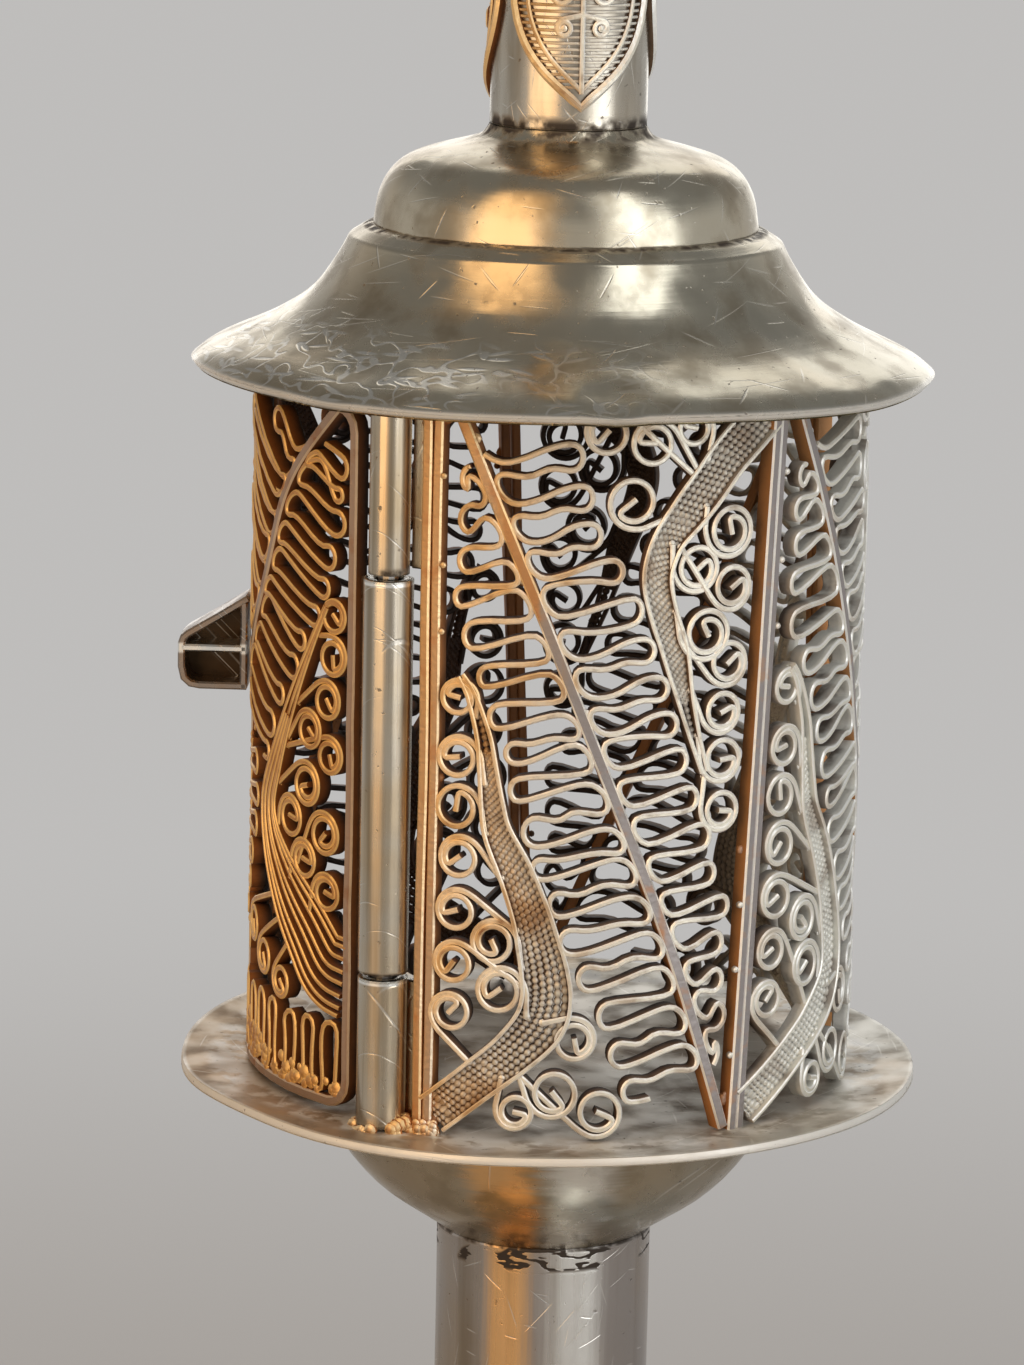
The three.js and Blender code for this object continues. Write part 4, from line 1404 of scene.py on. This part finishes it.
    def frame_and_strip(self) -> None:
        """Makes the door's frame and the strip across it."""
        left, right = Pen.arc(self.free_side), Pen.arc(self.hinge_side)
        bottom, top = self.foot + self.strip.width / 2, self.top - self.strip.width / 2
        line: Line = []
        corners = ((right, top, 0), (left, top, 1), (left, bottom, 2), (right, bottom, 3))
        middle = Vector(((left + right) / 2, (bottom + top) / 2, 0))
        for x, y, quarter in corners:
            inward = Vector((math.copysign(1, middle.x - x), math.copysign(1, middle.y - y), 0))
            centre = Vector((x, y, 0)) + inward * self.corner
            for i in range(5):
                angle = math.radians(90 * (quarter + i / 4))
                line.append(centre + Vector((math.cos(angle), math.sin(angle), 0)) * self.corner)
        dense: Line = []
        for a, b in zip(line, line[1:] + line[:1]):
            count = max(1, round((b - a).length / 2.5))
            for i in range(count):
                point = a.lerp(b, i / count)
                point.z = 0.06 * noise.noise(point * 0.3)
                dense.append(point)
        drawing = Drawing(self.reach, self.level)
        drawing.draw(dense, self.strip, smooth=False, closed=True)
        Bench.shown("door_rim", drawing.mesh(), self.strips, Body.DOOR, Slot.SILVER, "door_frame")
        edges = (left + self.strip.width / 2, right - self.strip.width / 2)
        field = Field(edges, edges, bottom, top, mirrored=True)
        drawing = Drawing(self.reach, self.level)
        drawing.draw(field.line(self.diagonal, 1.5), self.strip)
        Bench.shown("door_strip", drawing.mesh(), self.strips, Body.DOOR, Slot.SILVER, "door_diagonal")

    def draw_skirt(self, drawing: Drawing, field: Field, dice: random.Random) -> None:
        """Draws the row of upright loops along the foot of the door.

        Args:
            drawing: What it is drawn on.
            field: The clear field inside the door's frame.
            dice: Where its unevenness comes from.
        """
        low, high = field.bottom + 0.2, field.bottom + self.skirt
        left, right = field.foot[0] + 0.6, field.foot[1] - 0.6
        legs = round((right - left) / self.skirt_pitch)
        line: Line = []
        for i in range(legs + 1):
            x = left + (right - left) * i / legs
            out = dice.uniform(-0.14, 0)
            lean, dip = dice.uniform(-0.3, 0.3), dice.uniform(-0.9, 0.1)
            slant = 0.12 if i % 2 else -0.12
            ends = [
                Vector((x - slant, low, out)),
                Vector((x + lean, (low + high) / 2, out)),
                Vector((x + slant, high + (dip if i % 4 in (1, 2) else -0.3), out)),
            ]
            line += ends if i % 2 == 0 else ends[::-1]
        drawing.draw(line, self.wire)

    def pull(self) -> bmesh.types.BMesh:
        """Returns the mesh of the pull, a strap bent to a loop and a shelf."""
        strap = Gauge(self.pull_strip, self.pull_width, 0.12)
        bends = (self.pull_line, self.pull_post, self.pull_shelf)
        lines = [[Vector((*place, 0)) for place in bend] for bend in bends]
        return self.stood(Drawing.converted([Stroke(line, strap, smooth=False) for line in lines]))

    def back(self) -> bmesh.types.BMesh:
        """Returns the mesh of the thin plate that closes the pull's far side, near black as painted shade."""
        work = bmesh.new()
        back = bmesh.ops.create_grid(work, x_segments=1, y_segments=1, size=0.5)["verts"]
        for vertex, place in zip(back, self.pull_back):
            vertex.co = (*place, self.pull_width / 2 - 0.15)
        bmesh.ops.solidify(work, geom=work.faces, thickness=0.25)
        return self.stood(work)

    def stood(self, work: bmesh.types.BMesh) -> bmesh.types.BMesh:
        """Stands a mesh drawn from its side at the pull's place.

        Args:
            work: The mesh, drawn as distance from the axis and height.

        Returns:
            The same mesh, in its place.
        """
        stand = Matrix.Rotation(math.radians(90), 4, "X")
        turn = Matrix.Rotation(math.radians(self.pull_azimuth - 90), 4, "Z")
        bmesh.ops.transform(work, matrix=turn @ stand, verts=work.verts)
        bmesh.ops.translate(work, vec=(0, 0, self.level), verts=work.verts)
        return work


@dataclass(frozen=True)
class Knuckle:
    """One barrel of the hinge, and the azimuth of the strip that its tab reaches."""

    name: str
    radius: float
    bottom: float
    top: float
    edge: float
    body: Body


@dataclass(frozen=True)
class Hinge:
    """Knuckles on their pin, each with the tab that ties it to its strip."""

    reach: float = 21.0
    level: float = 83.1
    pin_azimuth: float = -31.5
    pin_reach: float = 21.3
    bore: float = 0.95
    tab: float = 0.6
    recess: float = 0.65
    tab_short: float = 0.6
    knuckles: tuple[Knuckle, ...] = (
        Knuckle("lower_knuckle", 1.65, 0.9, 11.0, -25.8, Body.TOWER),
        Knuckle("upper_knuckle", 1.35, 38.0, 49.0, -25.8, Body.TOWER),
        Knuckle("door_knuckle", 1.65, 11.3, 37.7, -39.7, Body.DOOR),
    )
    barrel_lumps: int = 80
    post_lumps: int = 50
    lump: tuple[float, float] = (0.45, 1.0)
    solder: Finish = STRIPS
    steel: Finish = Sheet("pin_steel", bright=(0.3, 0.29, 0.28), toned_and_warm_lit=(0.2, 0.15, 0.1), rough=0.5)
    barrel: Finish = Sheet(
        "barrel_silver",
        streaks=(1, 1, 30),
        clouds=(0.28, 0.28, 9),
        cloudy=0.6,
        toning_and_warm_light=0.6,
        rough=0.3,
        scratch=0.4,
        wave=0.8,
        corners=((121.3, 0.4), (94.4, 0.3)),
        # Painted highlights along the top lips of the knuckles
        highlit_lips=((120.65, 0.3), (93.95, 0.25)),
    )

    def lumps(self) -> bmesh.types.BMesh:
        """Returns the mesh of the solder that holds the lower knuckle to the plate and its post."""
        drawing = Drawing(self.reach, self.level)
        dice = random.Random("solder")
        middle, ring = Pen.arc(self.pin_azimuth), self.knuckles[0].radius + 0.1
        for _ in range(self.barrel_lumps):
            turn, size = dice.uniform(-1.8, 2.1), dice.uniform(*self.lump)
            out = self.pin_reach - self.reach + (ring - size * 0.2) * math.cos(turn) + size * 0.4
            up = dice.uniform(0.15, 0.8 + 0.4 * turn if turn > 0 else 0.7)
            drawing.bead(Vector((middle + ring * math.sin(turn), up, out)), size, 0.8)
        end = Pen.arc(self.knuckles[0].edge) + 1.8
        for _ in range(self.post_lumps):
            across, up, out = (dice.uniform(*room) for room in ((middle + ring, end), (0.2, 1.3), (0.0, 0.7)))
            drawing.bead(Vector((across, up, out)), dice.uniform(*self.lump), 0.8)
        return drawing.mesh()

    def draw_tab(self, knuckle: Knuckle) -> bmesh.types.BMesh:
        """Draws a knuckle's tab, with the grains along its soldered edge.

        Args:
            knuckle: The knuckle.

        Returns:
            The mesh, in millimetres.
        """
        drawing = Drawing(self.reach, self.level)
        middle, tall = (knuckle.bottom + knuckle.top) / 2, knuckle.top - knuckle.bottom - self.tab_short
        side = math.copysign(1, knuckle.edge - self.pin_azimuth)
        root = Pen.arc(self.pin_azimuth) + side * (self.bore + knuckle.radius) / 2
        end = Pen.arc(knuckle.edge)
        line = [Vector((root + (end - root) * i / 3, middle, -self.recess)) for i in range(4)]
        drawing.draw(line, Gauge(tall, self.tab, 0.12), smooth=False)
        dice = random.Random(knuckle.name)
        for i in range(5):
            at = Vector((end, knuckle.bottom + 0.6 + (tall - 0.6) * i / 4, -self.recess))
            drawing.bead(at, dice.uniform(0.5, 0.9), 0.7)
        return drawing.mesh()

    def build(self) -> None:
        """Makes the hinge."""
        Bench.dressed(self.steel, "hinge_pin")
        Bench.shown("hinge_solder", self.lumps(), self.solder, Body.TOWER, Slot.SILVER)
        turn = math.radians(self.pin_azimuth)
        pin = (self.pin_reach * math.sin(turn), -self.pin_reach * math.cos(turn), 0)
        for knuckle in self.knuckles:
            foot, head = (knuckle.radius, knuckle.bottom), (knuckle.radius, knuckle.top)
            wall = knuckle.radius - self.bore
            line = (foot, foot, head, head)
            work = Turning(line, wall, self.level, steps=32, smooth=12, soft=0.25).mesh()
            bmesh.ops.translate(work, vec=pin, verts=work.verts)
            Bench.joined(work, self.draw_tab(knuckle))
            slot = Slot.POLISHED if knuckle.body is Body.DOOR else Slot.SILVER
            Bench.shown(f"{knuckle.name}_barrel", work, self.barrel, knuckle.body, slot, knuckle.name)


@dataclass(frozen=True)
class Stand:
    """Foot, stem, cup and plate."""

    wall: float = 0.6
    foot_line: Shares = (
        (28.5, 1.0), (28.5, 1.0), (24.4, 1.5), (20.0, 3.35), (17.6, 7.2), (17.0, 10.4), (17.0, 10.4),
        (16.4, 10.7), (15.7, 11.2), (15.7, 11.2), (15.7, 14.2), (15.5, 16.0), (11.6, 16.8), (8.9, 17.3),
        (7.6, 17.6), (7.5, 19.0), (7.5, 19.0),
    )
    stem_line: Shares = (
        (7.5, 19.0), (7.5, 19.0), (7.5, 32.0), (7.5, 45.0), (7.5, 58.0), (7.5, 72.0), (7.5, 72.0),
    )
    cup_line: Shares = (
        (7.5, 72.0), (7.5, 72.0), (8.1, 72.5), (13.3, 76.0), (17.0, 82.5), (17.0, 82.5),
    )
    plate_line: Shares = (
        (0.0, 83.1), (10.0, 83.1), (20.5, 83.1), (22.4, 83.15), (24.2, 83.35), (25.5, 83.5), (25.5, 83.5),
    )

    sheet: Finish = Sheet("stand_silver", corners=((10.8, 0.6), (17.3, 0.8)), toning_and_warm_light=0.4)
    stem: Finish = Sheet(
        "stem_silver",
        streaks=(1, 1, 30),
        clouds=(0.8, 0.8, 14),
        cloudy=0.6,
        bright=(0.42, 0.39, 0.37),
        # Golden and white upright bands: painted reflections of the warm and the white lamp
        painted_highlights=((-19, 17, GOLDEN_HIGHLIGHT), (17, 22, WHITE_HIGHLIGHT)),
        corners=((71.9, 0.3), (19.5, 0.8)),
        cracks=((71.2, 1.1),),
    )
    # Its golden and white bands are painted reflections of the lamps
    cup: Finish = Sheet("cup_silver", bright=(0.44, 0.41, 0.33), painted_highlights=((-12, 13, GOLDEN_HIGHLIGHT), (9, 14, WHITE_HIGHLIGHT)))
    plate: Finish = Sheet(
        "plate_silver",
        toned_and_warm_lit=(0.40, 0.25, 0.11),
        toning_and_warm_light=0.85,
        smooth=0.3,
        rough=0.6,
        rim=25.5,
        scratch=0.3,
        wave=2.4,
        cloudy=0.6,
        crust=22.2,
        metal=0.65,
    )

    def build(self) -> None:
        """Makes the stand."""
        Bench.dressed(self.sheet, "foot_ring", "lower_hoop", "upper_hoop")
        Bench.dressed(self.stem, "stem_ring")
        for name, node, line, dress in (
            ("foot_shell", "foot_bell", self.foot_line, self.sheet),
            ("cup_shell", "cup", self.cup_line, self.cup),
            ("stem_shell", "stem_tube", self.stem_line, self.stem),
        ):
            work = Turning(line, self.wall).mesh()
            self.worn(work, 0.12)
            Bench.shown(name, work, dress, Body.TOWER, Slot.SILVER, node)
        work = Turning(self.plate_line, self.wall, steps=144).mesh()
        rippled(work, 22.0, 3.5, (1.7, 0.4), 1)
        Bench.shown("plate_sheet", work, self.plate, Body.TOWER, Slot.SILVER, "plate")

    @staticmethod
    def worn(work: bmesh.types.BMesh, depth: float) -> None:
        """Makes a turned surface slightly uneven, and leaves its ends level.

        Args:
            work: Its mesh.
            depth: How uneven it gets.
        """
        heights = [v.co.z for v in work.verts]
        low, high = min(heights), max(heights)
        for vertex in work.verts:
            ends = min(vertex.co.z - low, high - vertex.co.z, 1.0)
            sway = noise.noise(Vector((vertex.co.x, vertex.co.y, vertex.co.z * 0.7)) * 0.12)
            vertex.co.xy *= 1 - depth * ends * (0.5 + sway) / 20


@dataclass(frozen=True)
class Roof:
    """Bell roof and drum."""

    wall: float = 0.6
    level: float = 83.1
    bell_line: Shares = (
        (25.2, 49.4), (25.2, 49.4), (24.3, 50.15), (23.3, 50.7), (21.7, 51.4), (19.8, 52.3), (17.1, 54.0),
        (15.5, 56.3), (14.8, 57.6), (14.65, 57.95), (14.3, 58.15), (13.3, 58.8), (12.6, 58.8), (11.8, 58.8),
        (11.8, 58.8),
    )
    drum_line: Shares = (
        (13.0, 58.8), (13.0, 58.8), (12.95, 59.3), (12.7, 61.0), (11.9, 62.45), (10.7, 63.4), (8.8, 64.0),
        (6.0, 64.7), (5.5, 65.2), (5.3, 65.6), (5.3, 65.6),
    )

    bell_dents: Dents = ((8, 23.6, 2.6, 0.35), (-38, 22.8, 3.5, 0.3), (55, 20.5, 5.0, 0.25))
    drum_dents: Dents = ((30, 13.0, 3.0, 0.15), (-60, 12.0, 3.0, 0.15))
    sheet: Finish = Sheet(
        "roof_silver",
        bright=(0.60, 0.56, 0.45),
        corners=((141.8, 0.22), (148.4, 0.9)),
        cloudy=0.5,
        wave=2.2,
        rim=25.2,
        rubbed=17.5,
    )

    def build(self) -> None:
        """Makes the roof."""
        bell = Turning(self.bell_line, self.wall, self.level, steps=144, soft=0.35).mesh()
        self.dent(bell, self.bell_dents)
        rippled(bell, 15.0, 10.0, (1.6, 2.7), 2)
        Bench.shown("bell", bell, self.sheet, Body.TOWER, Slot.POLISHED, "roof_bell")
        drum = Turning(self.drum_line, self.wall, self.level, steps=120).mesh()
        self.dent(drum, self.drum_dents)
        Bench.shown("drum", drum, self.sheet, Body.TOWER, Slot.POLISHED, "roof_drum")

    @staticmethod
    def dent(work: bmesh.types.BMesh, dents: Dents) -> None:
        """Presses a sheet down and in at some places.

        Args:
            work: The sheet's mesh.
            dents: Azimuth, distance from the axis, radius and depth of each dent.
        """
        for azimuth, reach, width, depth in dents:
            turn = math.radians(azimuth)
            place = Vector((math.sin(turn), -math.cos(turn))) * reach
            for vertex in work.verts:
                away = (vertex.co.xy - place).length / width
                if away < 1:
                    push = depth * (1 - away * away) ** 2
                    vertex.co.z -= push * 0.7
                    vertex.co.xy *= 1 - push * 0.5 / max(vertex.co.xy.length, 1)


@dataclass(frozen=True)
class Spire:
    """Tube with its wire leaves, the taper, and the finial."""

    wall: float = 0.6
    level: float = 148.7
    radius: float = 5.3
    tube: float = 26.0
    cone: float = 30.0
    ball_height: float = 4.94
    leaves: int = 3
    azimuth: float = 8.0
    leaf_level: float = 1.6
    leaf_height: float = 18.0
    outline: Shares = (
        (0.0, 0.0), (0.55, 0.14), (0.86, 0.27), (0.99, 0.42), (0.9, 0.6), (0.66, 0.74), (0.36, 0.87),
        (0.0, 1.0),
    )
    half_width: float = 5.3
    wire: Gauge = Gauge(0.62, 0.75, 0.2)
    fine: Gauge = Gauge(0.34, 0.5, 0.1)
    hatch: Gauge = Gauge(0.2, 0.3, 0.06)

    curls: Shares = ((0.27, 0.62), (0.4, 0.95), (0.55, 1.0), (0.69, 0.75))
    hatch_pitch: float = 0.42
    sheet: Finish = Sheet(
        "spire_silver",
        corners=((149.0, 0.8),),
        toning_and_warm_light=0.5,
        clouds=(0.8, 0.8, 5),
        cloudy=0.6,
    )
    wires: Finish = Openwork(
        "leaf_silver",
        outer=5.8,
        depth=0.8,
        face_toned_and_warm_lit=(0.72, 0.50, 0.24),
        tilt=0.0,
        toned_and_warm_lit_lean=(2.5, -3.5),
    )

    def build(self) -> None:
        """Makes the spire."""
        r, top = self.radius, self.tube
        line = ((r, 0), (r, 0), (r, top / 3), (r, top * 2 / 3), (r, top), (r, top))
        tube = Turning(line, self.wall, self.level)
        Bench.shown("tube", tube.mesh(), self.sheet, Body.TOWER, Slot.SILVER, "spire_tube")
        drawing = Drawing(self.radius + 0.5, self.level)
        for i in range(self.leaves):
            self.leaf(drawing, Pen.arc(self.azimuth + i * 360 / self.leaves, drawing.reach))
        Bench.shown("leaves", drawing.mesh(), self.wires, Body.TOWER, Slot.SILVER)
        line = ((r, 0), (r, 0), (r * 0.78, 4), (r * 0.6, 12), (r * 0.42, 21), (1.7, 30), (1.7, 30))
        cone = Turning(line, self.wall, self.level + self.tube)
        Bench.shown("taper", cone.mesh(), self.sheet, Body.TOWER, Slot.SILVER, "spire_cone")
        base = self.level + self.tube + self.cone
        line = ((0, 0), (0.9, 0), (2.6, 0.3), (3.3, 2.45), (2.6, 4.65), (1.0, 4.9), (0, 4.9))
        ball = Turning(line, 0, base, 48)
        Bench.shown("ball", ball.mesh(), self.sheet, Body.TOWER, Slot.POLISHED, "finial_ball")
        line = ((0, 0), (1.0, 0), (1.0, 0), (0.75, 2.0), (0.45, 4.6), (0.2, 6.2), (0, 6.5))
        tip = Turning(line, 0, base + self.ball_height, 32)
        Bench.shown("tip", tip.mesh(), self.sheet, Body.TOWER, Slot.POLISHED, "finial_tip")

    def place(self, centre: float, across: float, up: float, out: float = 0.0) -> Vector:
        """Returns a drawn place on a leaf, by shares of its half width and its height."""
        return Vector((centre + across * self.half_width, self.leaf_level + up * self.leaf_height, out))

    def leaf(self, drawing: Drawing, centre: float) -> None:
        """Draws one leaf: an outline, a line beside it, a midrib, curls and a hatched ground.

        Args:
            drawing: What it is drawn on.
            centre: Its middle, as an arc.
        """
        right, left = (
            Pen.through([self.place(centre, side * across, up) for across, up in self.outline], 0.8)
            for side in (1, -1)
        )
        drawing.draw([*right, *reversed(left[1:-1])], self.wire, closed=True, smooth=False)
        drawing.draw([self.place(centre, 0, up, -0.1) for up in (0.05, 0.3, 0.6, 0.95)], self.fine)
        for side in (-1, 1):
            for up, size in self.curls:
                middle = self.place(centre, side * (0.17 + 0.12 * size), up + 0.02, -0.1)
                tail = self.place(centre, 0, up + 0.07, -0.1)
                drawing.draw(Pen.scroll(middle, size * 0.75, tail, -side, 1.3), self.fine)
                drawing.bead(middle + Vector((0, 0, 0.05)), 0.5, 0.6)
            edge = [self.place(centre, side * x * 0.78, 0.06 + y * 0.86, -0.18) for x, y in self.outline]
            drawing.draw(Pen.through(edge, 0.9), self.fine)
        count = round(self.leaf_height * 0.9 / self.hatch_pitch)
        for i in range(1, count):
            height = self.leaf_level + self.leaf_height * (0.05 + 0.9 * i / count)
            reach = abs(Pen.across_at(right, height) - centre) - 0.3
            if reach > 0.3:
                line = [Vector((centre + reach * k / 3, height, -0.3)) for k in range(-3, 4)]
                drawing.draw(line, self.hatch, smooth=False)


@dataclass(frozen=True)
class Lamp:
    """An upright soft box: where it stands in degrees and metres, its width, face brightness and colour."""

    name: str
    azimuth: float
    away: float
    width: float
    level: float
    colour: Colour


@dataclass(frozen=True)
class Studio:
    """Camera, floor and light."""

    eye: Colour = (-3.0, -354.0, 184.0)
    pitch: float = 11.77
    roll: float = 1.2
    lens: float = 138.75
    pale: Colour = (0.52, 0.51, 0.50)
    dim: Colour = (0.22, 0.22, 0.22)
    ambient: float = 0.28
    box_foot: float = 0.012
    box_height: float = 1.05
    floor_radius: float = 4.0
    shadow: tuple[float, float] = (60, 420)
    lamps: tuple[Lamp, ...] = (
        Lamp("warm", -38, 0.5, 0.40, 1.9, (1.0, 0.63, 0.29)),
        Lamp("white", 46, 0.5, 0.34, 2.1, (0.96, 0.98, 1.0)),
        Lamp("rear", 176, 0.6, 0.5, 1.0, (1.0, 0.98, 0.95)),
    )

    def camera(self) -> None:
        """Makes the camera."""
        data = bpy.data.cameras.new("camera")
        data.lens = self.lens
        data.sensor_width = 36
        data.clip_start, data.clip_end = 0.01, 20
        held = bpy.data.objects.new("camera", data)
        held.location = Vector(self.eye) * MM
        tilt = Matrix.Rotation(math.radians(90 - self.pitch), 4, "X")
        held.rotation_euler = (tilt @ Matrix.Rotation(math.radians(self.roll), 4, "Z")).to_euler()
        bpy.context.scene.collection.objects.link(held)
        bpy.context.scene.camera = held

    def build(self) -> None:
        """Makes the floor, the surroundings and the lamps."""
        bpy.context.scene.view_settings.view_transform = "Standard"
        self.floor()
        self.world()
        for lamp in self.lamps:
            self.lamp(lamp)

    def floor(self) -> None:
        """Makes the floor, plain pale far off and with the tower's shadow near it."""
        work = bmesh.new()
        bmesh.ops.create_circle(work, cap_ends=True, segments=96, radius=self.floor_radius)
        data = bpy.data.meshes.new("floor")
        work.to_mesh(data)
        work.free()
        s = Surface("pale_floor")
        grain = s.noise(2.0)
        colour = s.mix(grain * 0.1, self.pale, tuple(c * 0.94 for c in self.pale))
        matt = s.node("ShaderNodeBsdfPrincipled", {}, {"Base Color": colour, "Roughness": 0.8})
        plain = s.node("ShaderNodeEmission", {}, {"Color": self.pale, "Strength": 1.0})
        far = s.seen() * s.reach.ramp(*self.shadow)
        s.close(s.node("ShaderNodeMixShader", {}, {0: far, 1: matt, 2: plain}), MATERIAL_END)
        data.materials.append(s.material)
        held = bpy.data.objects.new("floor", data)
        bpy.context.scene.collection.objects.link(held)

    def world(self) -> None:
        """Makes the surroundings: a soft light, and a pale ground that dims overhead for what looks at it."""
        world = bpy.data.worlds.new("studio")
        bpy.context.scene.world = world
        world.use_nodes = True
        s = Shader(world.node_tree)
        ceiling = s.parts(s.node("ShaderNodeTexCoord", output="Generated"))[2].ramp(0.12, 0.6)
        ground = s.node("ShaderNodeBackground", {}, {"Color": s.mix(ceiling, self.pale, self.dim)})
        light = s.node("ShaderNodeBackground", {}, {"Strength": self.ambient})
        s.close(s.node("ShaderNodeMixShader", {}, {0: s.seen(), 1: light, 2: ground}), WORLD_END)

    def lamp(self, lamp: Lamp) -> None:
        """Makes one lamp, which stands on the floor and faces the tower.

        Args:
            lamp: What it is and where it stands.
        """
        data = bpy.data.lights.new(lamp.name, "AREA")
        data.shape = "RECTANGLE"
        data.size, data.size_y = lamp.width, self.box_height
        data.energy = math.pi * lamp.width * self.box_height * lamp.level
        data.color = lamp.colour
        turn = math.radians(lamp.azimuth)
        way = Vector((math.sin(turn), -math.cos(turn), 0))
        held = bpy.data.objects.new(lamp.name, data)
        held.location = way * lamp.away + Vector((0, 0, self.box_foot + self.box_height / 2))
        held.rotation_euler = (-way).to_track_quat("-Z", "Y").to_euler()
        held.visible_camera = False
        bpy.context.scene.collection.objects.link(held)


def main() -> None:
    """Builds the tower's looks."""
    logging.basicConfig(level=logging.INFO, format="%(message)s")
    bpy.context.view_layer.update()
    studio = Studio()
    studio.camera()
    for assembly in (Stand(), Cage(), Door(), Hinge(), Roof(), Spire()):
        assembly.build()
    studio.build()


if __name__ == "__main__":
    main()
